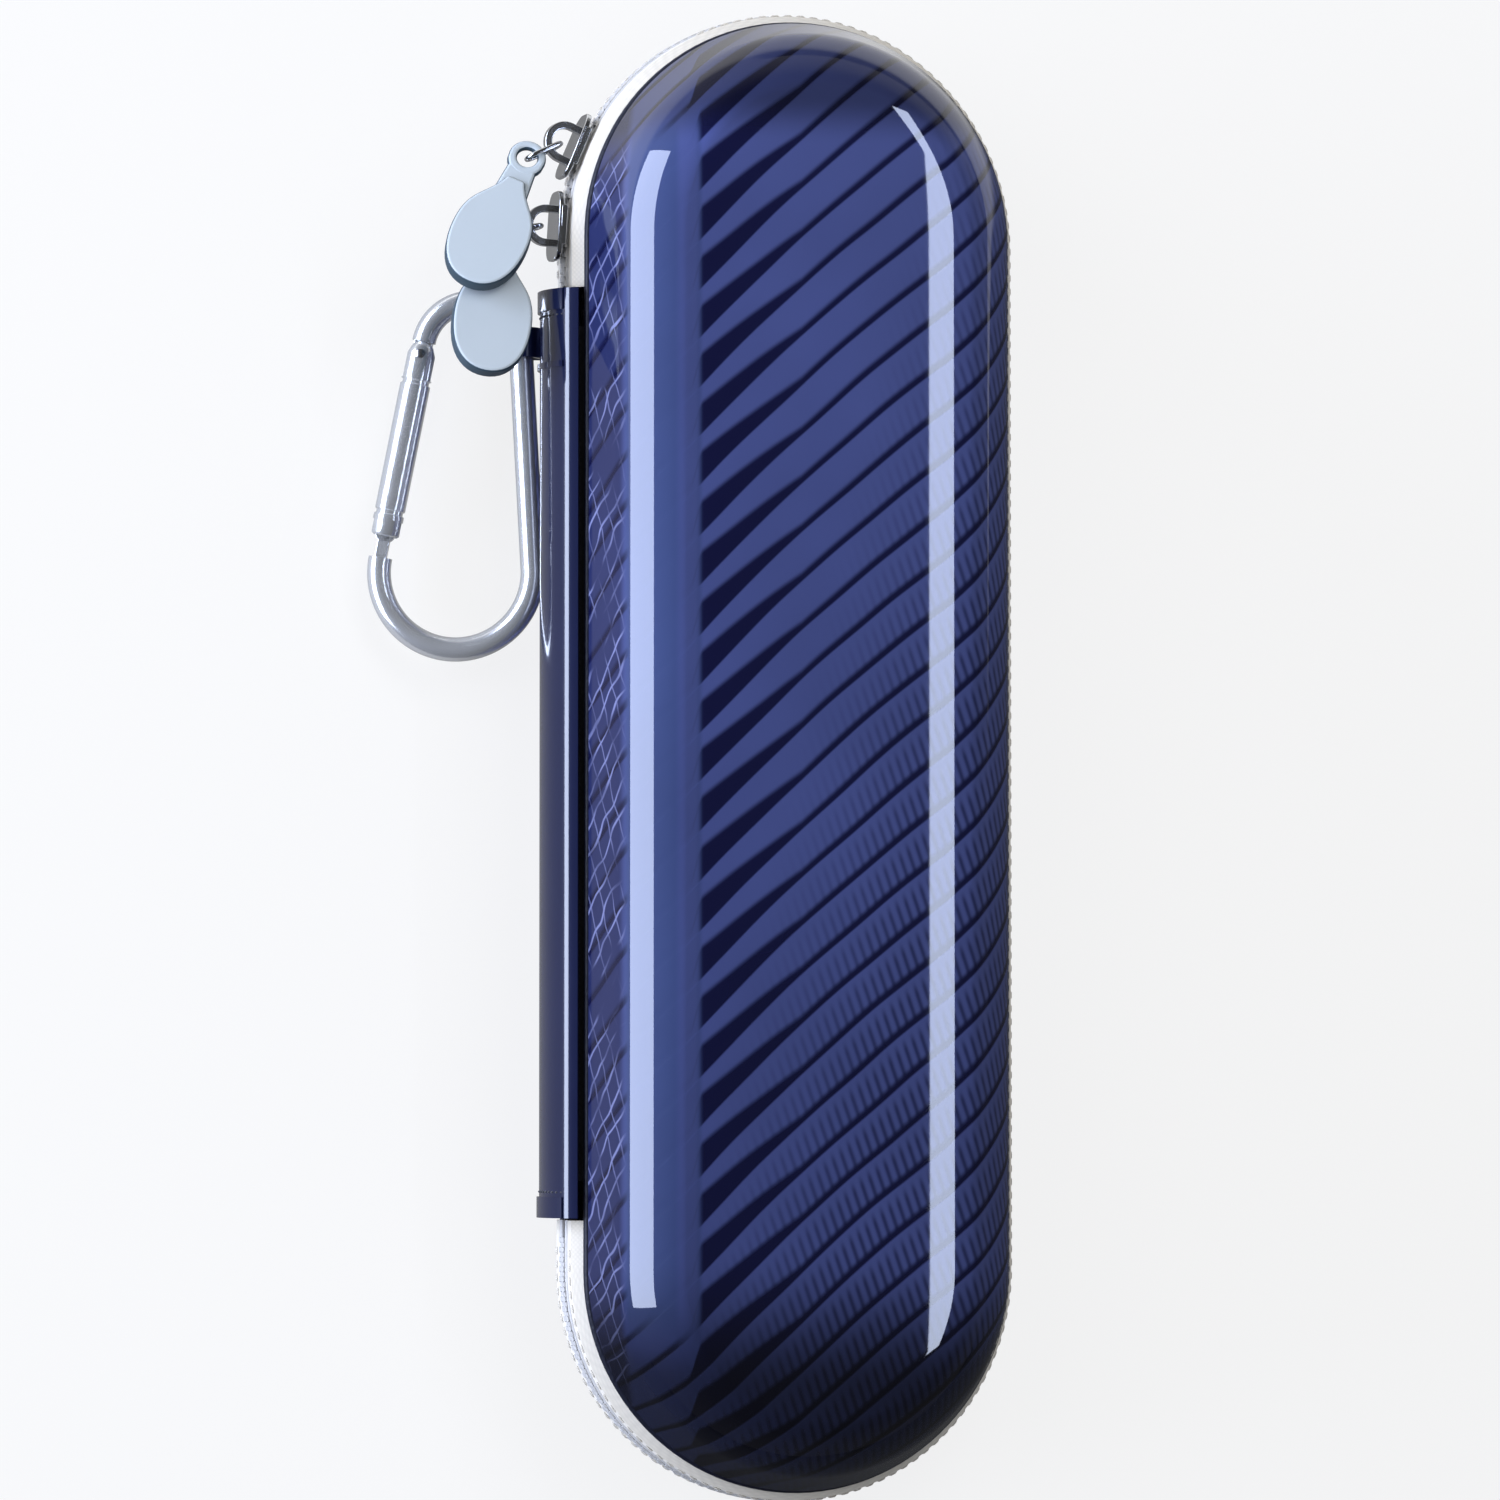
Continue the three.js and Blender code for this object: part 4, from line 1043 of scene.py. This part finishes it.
class CASE_OT_hinge(bpy.types.Operator):
    """Glossy hinge strip with folded hems and sewing, and the tape inside it"""
    bl_idname = "case.hinge"
    bl_label = "Hinge strip"

    def execute(self, context):
        low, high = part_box("hinge_strip")
        thick = 0.0011
        line = spine_line(high.x - thick / 2, low.x + thick / 2, low.z + 0.0004, high.z - 0.0004)
        strip = cross_band("hinge_strip_patent", line, thick, low.y, high.y, "patent", 60)
        self.bend(strip, "patent", low, high, "hinge_strip")
        self.hems(line, low, high, thick)
        self.inner_tape()
        return {"FINISHED"}

    def bend(self, made, slot, low, high, *nodes):
        """The piece hides the nodes it stands for, and its transform is baked into its mesh; the slot, low
        and high are not used.
        """
        if nodes:
            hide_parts(*nodes)
        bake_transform(made)

    def hems(self, line, low, high, thick):
        """Raised folds across the strip where it is turned over and sewn."""
        outer = [Vector((p.x - thick * 0.62, p.y)) for p in line[2:-2]]
        wide = 0.0034
        for word, start, end in (("top", high.y - wide, high.y),
                                 ("upper", high.y - 0.0128, high.y - 0.0118),
                                 ("bottom", low.y, low.y + wide)):
            fold = cross_band(f"hinge_{word}_hem", outer, 0.0006, start, end, "patent", 6)
            self.bend(fold, "patent", low, high)
        surface = [Vector((p.x - thick * 0.5, p.y)) for p in line[2:-2]]
        places = []
        past_hem = 0.0042
        for y in (high.y - past_hem, low.y + past_hem):
            for first, second in zip(surface[1:-1:2], surface[2::2]):
                start = Vector((first.x, y, first.y))
                places.append((start, Vector((second.x, y, second.y)), Vector((-1, 0, 0))))
        self.bend(threads("hinge_hem_sewing", places, "thread"), "patent", low, high)

    def inner_tape(self):
        low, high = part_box("inner_hinge_tape")
        thick = 0.0006
        line = spine_line(high.x - 0.0008, low.x + thick / 2, low.z + 0.0004, high.z - 0.0004)
        tape = cross_band("inner_hinge_cloth", line, thick, low.y, high.y, "lining", 40)
        self.bend(tape, "lining", low, high, "inner_hinge_tape")


class CASE_OT_loop(bpy.types.Operator):
    """Folded strap loop that carries the snap hook"""
    bl_idname = "case.loop"
    bl_label = "Hanging loop"

    def execute(self, context):
        reach = 0.00345
        thick = 0.0011
        middle = Vector((LOOP_LOW.x + LOOP_MIDDLE_IN, (LOOP_LOW.z + LOOP_HIGH.z) / 2))
        line = []
        for step in range(33):
            turn = math.radians(22) + (math.tau - math.radians(44)) * step / 32
            line.append(middle + reach * Vector((math.cos(turn), math.sin(turn))))
        tails = [Vector((LOOP_HIGH.x, middle.y + side * thick * 0.52)) for side in (1, -1)]
        ring = cross_band("hanging_loop_patent", [tails[0]] + line + [tails[1]], thick,
                          LOOP_LOW.y, LOOP_HIGH.y, "patent", 8)
        settle(soften(ring, 0.0002, 2, 50.0), "base", "patent", "hanging_loop")
        places = []
        stitch_x = middle.x + 0.0046
        for step in range(4):
            y = LOOP_LOW.y + 0.0006 + step * 0.0011
            at = Vector((stitch_x, y, middle.y + thick * 1.12))
            places.append((at, at + Vector((0, 0.0009, 0)), Vector((0, 0, 1))))
        settle(threads("hanging_loop_sewing", places, "thread"), "base", "patent")
        return {"FINISHED"}


# Sliders and pulls

def slider_frame(turn):
    place = Matrix.Translation((-ROW * math.cos(turn), STRAIGHT + ROW * math.sin(turn), PARTING))
    return place @ Matrix.Rotation(math.pi - turn, 4, "Z")


def pull_frame(origin, lie):
    heading, rise, lean = (math.radians(value) for value in lie)
    turned = Matrix.Rotation(heading, 4, "Z") @ Matrix.Rotation(-rise, 4, "Y")
    return Matrix.Translation(origin) @ (turned @ Matrix.Rotation(-lean, 4, "X"))


class CASE_OT_sliders(bpy.types.Operator):
    """Plated zip sliders: two plates, lips, neck and bridge"""
    bl_idname = "case.sliders"
    bl_label = "Sliders"

    def execute(self, context):
        for word, turn in (("upper", UPPER_SLIDER_TURN), ("lower", LOWER_SLIDER_TURN)):
            made = self.slider(f"{word}_slider_plated", slider_frame(turn))
            settle(made, f"{word}_runner", "nickel", f"{word}_slider")
        return {"FINISHED"}

    def slider(self, name, placed):
        bm = bmesh.new()
        length, width, corner, plate = 0.0114, 0.0074, 0.0024, 0.0009
        channel, small_corner = 0.0015, 0.0003
        lip_out, lip_inset, lip_wide, lip_thick = 0.00145, 0.00056, 0.001, 0.0011
        neck_length, neck_thick = 0.0034, 0.0014
        bridge_outer, bridge_inner, bridge_thick = 0.0034, 0.0022, 0.0016
        lying = Matrix.Rotation(math.pi / 2, 4, "Y")
        for side in (-1, 1):
            at = Matrix.Translation((side * (channel + plate / 2), 0, 0))
            prism(bm, self.plate_outline(length, width, corner), plate, placed @ at @ lying)
            for edge in (-1, 1):
                lip = Matrix.Translation((side * lip_out, 0, edge * (width / 2 - lip_inset)))
                along = rounded_box(length - 2 * corner, lip_wide, small_corner, 2)
                prism(bm, along, lip_thick, placed @ lip)
        prism(bm, rounded_box(neck_length, 2 * channel + plate, small_corner, 2), neck_thick, placed)
        prism(bm, self.arch_outline(bridge_outer, bridge_inner), bridge_thick, placed)
        return soften(mesh_object(name, bm, "nickel"), 0.00022, 3, 35.0)

    def plate_outline(self, length, width, corner):
        """The plate: waisted at its tail, where the two rows leave it joined."""
        outline = []
        for x, y in rounded_box(length, width, corner):
            waist = 1 - 0.16 * max(0.0, -y / (length / 2)) ** 2
            outline.append((x * waist, y))
        return outline

    def arch_outline(self, outer, inner):
        foot = 0.0019
        over = [(BRIDGE_BASE + outer * math.sin(t), -outer * math.cos(t))
                for t in (math.pi * n / 18 for n in range(19))]
        under = [(BRIDGE_BASE + inner * math.sin(t), -inner * math.cos(t))
                 for t in (math.pi * n / 18 for n in range(18, -1, -1))]
        return [(foot, -outer)] + over + [(foot, outer), (foot, inner)] + under + [(foot, -inner)]


class CASE_OT_pulls(bpy.types.Operator):
    """Wire links on the bridges, and moulded teardrop grips"""
    bl_idname = "case.pulls"
    bl_label = "Pulls"

    def execute(self, context):
        for word, turn, link_lie, grip_lie in (("upper", UPPER_SLIDER_TURN, UPPER_LINK_LIE, UPPER_GRIP_LIE),
                                               ("lower", LOWER_SLIDER_TURN, LOWER_LINK_LIE, LOWER_GRIP_LIE)):
            bridge = slider_frame(turn) @ Vector((BRIDGE_BASE, 0, 0))
            link = pull_frame(bridge, link_lie)
            grip = pull_frame(link @ Vector((LINK_REACH, 0, 0)), grip_lie)
            settle(self.link(f"{word}_link_wire", link), f"{word}_link", "nickel", f"{word}_pull_link")
            settle(self.grip(f"{word}_grip_moulded", grip), f"{word}_grip", "grip", f"{word}_pull_grip")
        return {"FINISHED"}

    def link(self, name, placed):
        half_width = 0.0017
        near = 0.0007 + half_width
        far = LINK_REACH - half_width
        points = []
        for centre, start in ((far, -90), (near, 90)):
            for step in range(13):
                turn = math.radians(start + 15 * step)
                at = Vector((centre + half_width * math.cos(turn), 0, half_width * math.sin(turn)))
                points.append(placed @ at)
        return wire_object(name, points, 0.0004, "nickel", True)

    def outline(self):
        """The teardrop, from its neck round its broad end and back."""
        length, wide, neck = 0.0253, 0.0065, 0.0031
        start, shoulder = 0.00465, 0.0093
        hip, broad, round_end = 0.00936, 0.01612, 0.02184
        lower = [Vector((start, -neck / 2))]
        lower += bezier(lower[0], (shoulder, -neck), (hip, -wide), (broad, -wide), 14)
        lower += bezier((broad, -wide), (round_end, -wide), (length, -wide * 0.62), (length, 0), 12)
        upper = [Vector((p.x, -p.y)) for p in lower[-2::-1]]
        return [tuple(p) for p in lower + upper]

    def grip(self, name, placed):
        bm = bmesh.new()
        body_thick, tab_thick, bridge_thick = 0.003, 0.0016, 0.0015
        eye, neck, shoulder, count = 0.0017, 0.0031, 0.0088, 32
        foot, foot_half, shoulder_half = 0.0019, 0.0024, 0.003
        prism(bm, self.outline(), body_thick, placed)
        tab = []
        for x, y in circle(1.0, count):
            scale = neck if x < 0.35 else neck * (1 + 0.12 * x)
            tab.append((x * scale, y * scale))
        ring_prism(bm, circle(eye, count), tab, tab_thick, placed)
        bridge = [(foot, -foot_half), (shoulder, -shoulder_half), (shoulder, shoulder_half),
                  (foot, foot_half)]
        prism(bm, bridge, bridge_thick, placed)
        made = mesh_object(name, bm, "grip")
        # Every face but the front takes the dark copy: painted shade on the grip's edges and back
        made.data.materials.append(FINISH["grip_painted_shade"])
        face_way = placed.to_3x3() @ Vector((0, 0, 1))
        for face in made.data.polygons:
            face.material_index = 0 if face.normal.dot(face_way) > 0.5 else 1
        return soften(made, 0.0006, 4, 35.0)


# Snap hook

HOOK_WIRE = 0.002
HOOK_LOW_RADIUS = 0.0127
HOOK_TOP_RADIUS = 0.0081
HOOK_LOW = Vector((-0.0127, -0.0365))
HOOK_TOP = Vector((-0.0101, 0.0))
HOOK_TILT = math.radians(20)
GATE_RADIUS = 0.0025
GATE_PIN = 0.0008
GATE_PIVOT_SHARE = 0.06


def hook_frame():
    across = 0.00242
    x = LOOP_LOW.x + LOOP_MIDDLE_IN + across * math.cos(HOOK_TILT)
    y = (LOOP_LOW.y + LOOP_HIGH.y) / 2 - 0.0012
    z = (LOOP_LOW.z + LOOP_HIGH.z) / 2 + across * math.sin(HOOK_TILT)
    return Matrix.Translation((x, y, z)) @ Matrix.Rotation(-HOOK_TILT, 4, "Y")


def on_circle(middle, radius, turn):
    return middle + radius * Vector((math.cos(turn), math.sin(turn)))


def gate_line():
    """The turn of the gate's tangent line, and where it meets the low and the top bend."""
    across = HOOK_TOP - HOOK_LOW
    lean = math.asin((HOOK_LOW_RADIUS - HOOK_TOP_RADIUS) / across.length)
    turn = math.atan2(across.y, across.x) + math.pi / 2 - lean
    return turn, on_circle(HOOK_LOW, HOOK_LOW_RADIUS, turn), on_circle(HOOK_TOP, HOOK_TOP_RADIUS, turn)


def gate_axis(share_from_top, lift=0.0):
    """A frame on the gate's line, its Z down the gate."""
    _, low, high = gate_line()
    at = high.lerp(low, share_from_top)
    along = (low - high).normalized()
    down = Vector((along.x, along.y, 0))
    side = Vector((-along.y, along.x, 0))
    turned = axes(side, Vector((0, 0, 1)), down)
    if turned.to_3x3().determinant() < 0:
        turned = axes(side, Vector((0, 0, -1)), down)
    return Matrix.Translation((at.x, at.y, lift)) @ turned


class CASE_OT_hook(bpy.types.Operator):
    """Snap hook: drawn wire body, sprung gate, its pin and its spring"""
    bl_idname = "case.hook"
    bl_label = "Snap hook"

    def execute(self, context):
        placed = hook_frame()
        settle(self.body(placed), "hook", "hook_aluminium", "carabiner_body")
        self.ends(placed)
        settle(self.gate(placed), "gate", "hook_aluminium", "carabiner_gate")
        settle(self.pin(placed), "hook", "steel", "gate_pin")
        settle(self.spring(placed), "gate", "steel", "gate_spring")
        return {"FINISHED"}

    def body(self, placed):
        turn = gate_line()[0]
        flat = [on_circle(HOOK_TOP, HOOK_TOP_RADIUS, turn * (1 - step / 40)) for step in range(41)]
        flat += [on_circle(HOOK_LOW, HOOK_LOW_RADIUS, -(math.tau - turn) * step / 60) for step in range(61)]
        points = [placed @ Vector((p.x, p.y, 0)) for p in flat]
        return wire_object("hook_body_wire", points, HOOK_WIRE, "aluminium")

    def ends(self, placed):
        """The flattened ear that the gate turns on, and the nose that it shuts over."""
        bm = bmesh.new()
        thick = 0.0018
        for outline, share in ((rounded_box(0.0084, 0.0031, 0.0012, 5), 0.025),
                               (rounded_box(0.0062, 0.002, 0.0006, 4), 0.935), (circle(0.0017, 24), 0.885)):
            prism(bm, outline, thick, placed @ gate_axis(share) @ Matrix.Rotation(math.pi / 2, 4, "X"))
        made = soften(mesh_object("hook_ear_and_nose", bm, "aluminium"), 0.0002, 2, 35.0)
        settle(made, "hook", "hook_aluminium")

    def gate(self, placed):
        _, low, high = gate_line()
        length = (low - high).length * 0.84
        bm = bmesh.new()
        edge = GATE_RADIUS * 0.12
        axis = placed @ gate_axis(GATE_PIVOT_SHARE)
        grooves = ((0.0042, 0.0044, 0.0049, 0.0051),
                   [length - back for back in (0.0044, 0.0042, 0.0037, 0.0035)])
        profile = [(GATE_RADIUS * 0.5, -GATE_RADIUS * 0.86), (GATE_RADIUS * 0.8, -GATE_RADIUS * 0.6),
                   (GATE_RADIUS, 0)]
        for places in grooves:
            profile += zip((GATE_RADIUS, GATE_RADIUS - edge, GATE_RADIUS - edge, GATE_RADIUS), places)
        profile += [(GATE_RADIUS, length - edge), (GATE_RADIUS - edge, length)]
        lathe(bm, profile, axis, 48)
        made = mesh_object("gate_tube", bm, "aluminium", 50.0)
        slot = 0.0024
        for start, end in ((-0.004, 0.0041), (length - 0.0026, length + 0.002)):
            made = cut(made, self.block(axis, start, end, slot))
        return soften(made, 0.00015, 2, 50.0)

    def block(self, placed, start, end, width):
        bm = bmesh.new()
        middle = Matrix.Translation((0, 0, (start + end) / 2))
        prism(bm, [(x * 0.005, y * width / 2) for x, y in CORNERS], end - start, placed @ middle)
        return mesh_object("slot_cutter", bm, "aluminium")

    def pin(self, placed):
        bm = bmesh.new()
        half = GATE_RADIUS * 0.98
        dome = GATE_PIN * 0.3
        profile = [(GATE_PIN * 0.5, -half - dome), (GATE_PIN, -half), (GATE_PIN, half),
                   (GATE_PIN * 0.5, half + dome)]
        upright = placed @ gate_axis(GATE_PIVOT_SHARE) @ Matrix.Rotation(math.pi / 2, 4, "X")
        lathe(bm, profile, upright, 24)
        return mesh_object("gate_rivet", bm, "steel")

    def spring(self, placed):
        axis = placed @ gate_axis(GATE_PIVOT_SHARE)
        turns, per_turn, pitch, radius = 8, 16, 0.0012, 0.00095
        start = GATE_RADIUS + GATE_PIN * 2 + GAP
        points = []
        for step in range(turns * per_turn + 1):
            turn = math.tau * step / per_turn
            points.append(axis @ Vector((radius * math.cos(turn), radius * math.sin(turn),
                                         start + pitch * step / per_turn)))
        return wire_object("gate_coil", points, 0.0002, "steel")


# Inside the case

class CASE_OT_straps(bpy.types.Operator):
    """Elastic straps for the handle and the loop for the brush heads"""
    bl_idname = "case.straps"
    bl_label = "Straps"

    def execute(self, context):
        for word in ("lower", "upper"):
            node = f"{word}_handle_strap"
            low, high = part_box(node)
            thick = 0.001
            sag = 0.003
            line = []
            for step in range(33):
                share = step / 16 - 1
                hang = sag * (1 - share * share)
                line.append(Vector((share * (high.x - SIDE_FREE), high.z - thick * 0.62 - hang)))
            strap = cross_band(f"{word}_strap_elastic", line, thick, low.y, high.y, "elastic", 20)
            settle(soften(strap, 0.0003, 2, 50.0), "base", "elastic", node)
            self.bar_tacks(word, low, high, line, thick)
        self.head_loop()
        return {"FINISHED"}

    def bar_tacks(self, word, low, high, line, thick):
        """Dense rows of stitches where the strap goes into the lining's edge."""
        places = []
        for at in (line[1], line[2], line[-3], line[-2]):
            y = low.y + 0.001
            while y < high.y - 0.001:
                start = Vector((at.x, y, at.y + thick * 0.55))
                places.append((start, start + Vector((0, 0.0013, 0)), Vector((0, 0, 1))))
                y += 0.0017
        settle(threads(f"{word}_strap_tacks", places, "thread", 0.00018), "base", "elastic")

    def head_loop(self):
        low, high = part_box("brush_head_loop")
        thick = 0.001
        floor = low.z + thick / 2
        top = high.z - thick / 2
        reach = high.x - SIDE_FREE
        foot = 0.0068
        right = [Vector((reach, floor)), Vector((reach - 0.003, floor + 0.0001))]
        right += bezier(right[-1], (foot, floor + 0.0002), (foot, floor + 0.001),
                        (foot - 0.0006, floor + 0.0036), 8)
        right += bezier(right[-1], (foot - 0.0016, floor + 0.0095), (foot - 0.0028, top), (0, top), 14)
        left = [Vector((-p.x, p.y)) for p in right[-2::-1]]
        band = cross_band("head_loop_elastic", right + left, thick, low.y, high.y, "elastic", 14)
        settle(soften(band, 0.0003, 2, 60.0), "base", "elastic", "brush_head_loop")


NET_THICK = 0.0003


class CASE_OT_pocket(bpy.types.Operator):
    """Net pocket in the lid with its elastic hem"""
    bl_idname = "case.pocket"
    bl_label = "Net pocket"

    def execute(self, context):
        low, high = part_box("net_pocket")
        middle = (low.z + high.z) / 2
        bm = bmesh.new()
        rows, columns = 90, 32
        radius = high.x - SIDE_FREE
        grid = []
        for row in range(rows + 1):
            y = low.y + GAP + (high.y - low.y - GAP) * row / rows
            beyond = max(0.0, -STRAIGHT - y)
            reach = math.sqrt(max(radius * radius - beyond * beyond, 0.0))
            line = []
            for column in range(columns + 1):
                share = 2 * column / columns - 1
                sag = 0.0005 * (1 - share * share) * math.sin(math.pi * row / rows)
                line.append(bm.verts.new((share * max(reach, 0.0015), y, middle - sag)))
            grid.append(line)
        for first, second in zip(grid, grid[1:]):
            for a, b, c, d in zip(first, first[1:], second[1:], second):
                bm.faces.new((a, b, c, d))
        net = mesh_object("pocket_net", bm, "net", 80.0)
        thicken = net.modifiers.new("Yarn thickness", "SOLIDIFY")
        thicken.thickness = NET_THICK
        settle(net, "lid", "net", "net_pocket")
        hem = self.hem()
        return {"FINISHED"}

    def hem(self):
        low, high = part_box("pocket_hem")
        line = []
        for step in range(41):
            share = step / 20 - 1
            gather = 0.00018 * math.sin(step * 2.4)
            line.append(Vector((share * (high.x - SIDE_FREE), (low.z + high.z) / 2 + gather)))
        band = cross_band("pocket_hem_elastic", line, high.z - low.z - 0.0005, low.y, high.y, "elastic", 10)
        settle(soften(band, 0.0004, 3, 50.0), "lid", "elastic", "pocket_hem")
        return band


# Stage

def add_area(name, direction, distance, size, radiance, tone=(1, 1, 1), shift=0.0):
    """An area lamp that looks at the case from a direction, with its radiance given."""
    light = bpy.data.lights.new(name, "AREA")
    light.shape = "RECTANGLE"
    light.size, light.size_y = size
    light.energy = radiance * math.pi * size[0] * size[1]
    light.color = tone
    lamp = add_object(name, light)
    away = Vector(direction).normalized()
    lamp.location = Vector((0, 0, PARTING)) + away * distance + Vector((0, shift, 0))
    lamp.matrix_world = Matrix.Translation(lamp.location) @ facing(away)
    return lamp


def seen_beyond(tree):
    """1 for rays from the camera and through glass: with the mirrored rays, and then without them."""
    path = tree.nodes.new("ShaderNodeLightPath").outputs
    seen = calc(tree, "MAXIMUM", path["Is Camera Ray"], path["Is Transmission Ray"])
    return calc(tree, "MAXIMUM", seen, path["Is Glossy Ray"]), seen


class CASE_OT_stage(bpy.types.Operator):
    """Pale floor, soft studio light and the camera"""
    bl_idname = "case.stage"
    bl_label = "Stage"

    def execute(self, context):
        self.floor()
        self.world()
        self.lamps()
        self.camera()
        context.scene.view_settings.view_transform = "Standard"
        return {"FINISHED"}

    def floor(self):
        bm = bmesh.new()
        reach = 4.0
        bm.faces.new([bm.verts.new((x * reach, y * reach, -GAP)) for x, y in CORNERS])
        mesh = bpy.data.meshes.new("floor")
        bm.to_mesh(mesh)
        bm.free()
        material, tree, shader = new_material("Pale floor", Base_Color=(0.8, 0.8, 0.8, 1), Roughness=0.9,
                                              Specular_IOR_Level=0.1)
        mixed = add_node(tree, "ShaderNodeMixShader")
        _, seen = seen_beyond(tree)
        path = tree.nodes.new("ShaderNodeLightPath").outputs
        place = add_node(tree, "ShaderNodeSeparateXYZ", Vector=place_of(tree)).outputs
        beside = calc(tree, "MULTIPLY", smooth(tree, place[0], 0.0, -0.06),
                      smooth(tree, place[1], -0.14, -0.07))
        beyond = between(tree, place[1], (0.112, 0.135), (0.5, 0.25))
        least_mirrored, more_beside = 0.03, 0.3
        seen_level, seen_share, mirrored_share = 0.98, 0.82, 0.93
        mirrored = calc(tree, "ADD", calc(tree, "MULTIPLY_ADD", beside, more_beside, least_mirrored), beyond)
        mirrored = calc(tree, "MULTIPLY", path["Is Glossy Ray"], mirrored)
        strength = calc(tree, "MAXIMUM", calc(tree, "MULTIPLY", seen, seen_level), mirrored)
        glow = add_node(tree, "ShaderNodeEmission", Color=(1, 1, 1, 1), Strength=strength)
        share = calc(tree, "MAXIMUM", calc(tree, "MULTIPLY", seen, seen_share),
                     calc(tree, "MULTIPLY", path["Is Glossy Ray"], mirrored_share))
        tree.links.new(share, mixed.inputs[0])
        tree.links.new(shader.outputs[0], mixed.inputs[1])
        tree.links.new(glow.outputs[0], mixed.inputs[2])
        tree.links.new(mixed.outputs[0], tree.nodes["Material Output"].inputs[0])
        mesh.materials.append(material)
        add_object("floor", mesh)

    def world(self):
        world = bpy.data.worlds.new("Studio")
        bpy.context.scene.world = world
        world.use_nodes = True
        tree = world.node_tree
        ambient = tree.nodes["Background"]
        light_level, least_mirrored = 0.3, 0.06
        ambient.inputs[0].default_value = (0.92, 0.95, 1, 1)
        ambient.inputs[1].default_value = light_level
        backdrop = add_node(tree, "ShaderNodeBackground", Color=(1, 1, 1, 1))
        way = add_node(tree, "ShaderNodeSeparateXYZ", Vector=place_of(tree, "Generated"))
        low = smooth(tree, way.outputs[2], 0.5, 0.05)
        upward = calc(tree, "MULTIPLY_ADD", smooth(tree, way.outputs[1], 0.0, 0.8), 0.25, 0.03)
        fade = calc(tree, "ADD", calc(tree, "MULTIPLY", low, upward), least_mirrored)
        everything, seen = seen_beyond(tree)
        strength = calc(tree, "MAXIMUM", seen, fade)
        tree.links.new(strength, backdrop.inputs[1])
        mixed = add_node(tree, "ShaderNodeMixShader")
        tree.links.new(everything, mixed.inputs[0])
        tree.links.new(ambient.outputs[0], mixed.inputs[1])
        tree.links.new(backdrop.outputs[0], mixed.inputs[2])
        tree.links.new(mixed.outputs[0], tree.nodes["World Output"].inputs[0])

    def lamps(self):
        cool = (0.68, 0.77, 1.0)
        left = math.radians(-77)
        add_area("left_strip", (math.sin(left), 0, math.cos(left)), 1.0, (0.44, 1.2), 13.5, cool, 0.25)
        right = math.radians(25.7)
        add_area("right_strip", (math.sin(right), 0, math.cos(right)), 1.5, (0.054, 0.84), 14, cool, 0.15)
        for name, direction, distance, size, radiance in (
                ("top_fill", (0.1, 0.5, 0.85), 0.6, (0.3, 0.3), 4.0),
                ("left_fill", (-0.7, 0.2, 0.85), 1.3, (0.6, 0.6), 2.2)):
            add_area(name, direction, distance, size, radiance).visible_glossy = False

    def camera(self):
        """Above the case, turned towards the spine, at the photograph's framing."""
        yaw = math.radians(17.1)
        pitch = math.radians(2.5)
        distance = 1.25
        frame_width = 0.2463
        sensor = 36
        aim = Vector((-0.00605, 0.00099, 0.025))
        away = Vector((-math.sin(yaw) * math.cos(pitch), -math.sin(pitch), math.cos(yaw) * math.cos(pitch)))
        data = bpy.data.cameras.new("photo_camera")
        data.sensor_width = sensor
        data.lens = sensor * distance / frame_width
        camera = add_object("photo_camera", data)
        camera.matrix_world = Matrix.Translation(aim + away * distance) @ facing(away)
        bpy.context.scene.camera = camera


OPERATORS = [CASE_OT_stage, CASE_OT_shells, CASE_OT_linings, CASE_OT_piping, CASE_OT_tapes, CASE_OT_teeth,
             CASE_OT_hinge, CASE_OT_loop, CASE_OT_sliders, CASE_OT_pulls, CASE_OT_hook, CASE_OT_straps,
             CASE_OT_pocket]


class CASE_PT_panel(bpy.types.Panel):
    """Lists the steps of the dressing"""
    bl_idname = "CASE_PT_panel"
    bl_label = "Travel case"
    bl_space_type = "VIEW_3D"
    bl_region_type = "UI"
    bl_category = "Case"

    def draw(self, context):
        for operator in OPERATORS:
            self.layout.operator(operator.bl_idname)
        for group in (context.scene.case_sizes, context.scene.case_colours):
            for name in group.__annotations__:
                self.layout.prop(group, name)


CLASSES = [CaseSizes, CaseColours, *OPERATORS, CASE_PT_panel]


def register():
    for each in CLASSES:
        bpy.utils.register_class(each)
    bpy.types.Scene.case_sizes = PointerProperty(type=CaseSizes)
    bpy.types.Scene.case_colours = PointerProperty(type=CaseColours)


def unregister():
    del bpy.types.Scene.case_colours
    del bpy.types.Scene.case_sizes
    for each in reversed(CLASSES):
        bpy.utils.unregister_class(each)


def main():
    register()
    FINISH.update(make_materials())
    for operator in OPERATORS:
        name = operator.bl_idname.split(".")[1]
        result = getattr(bpy.ops.case, name)()
        if result != {"FINISHED"}:
            raise RuntimeError(f"{operator.bl_label} did not finish")


if __name__ == "__main__":
    main()
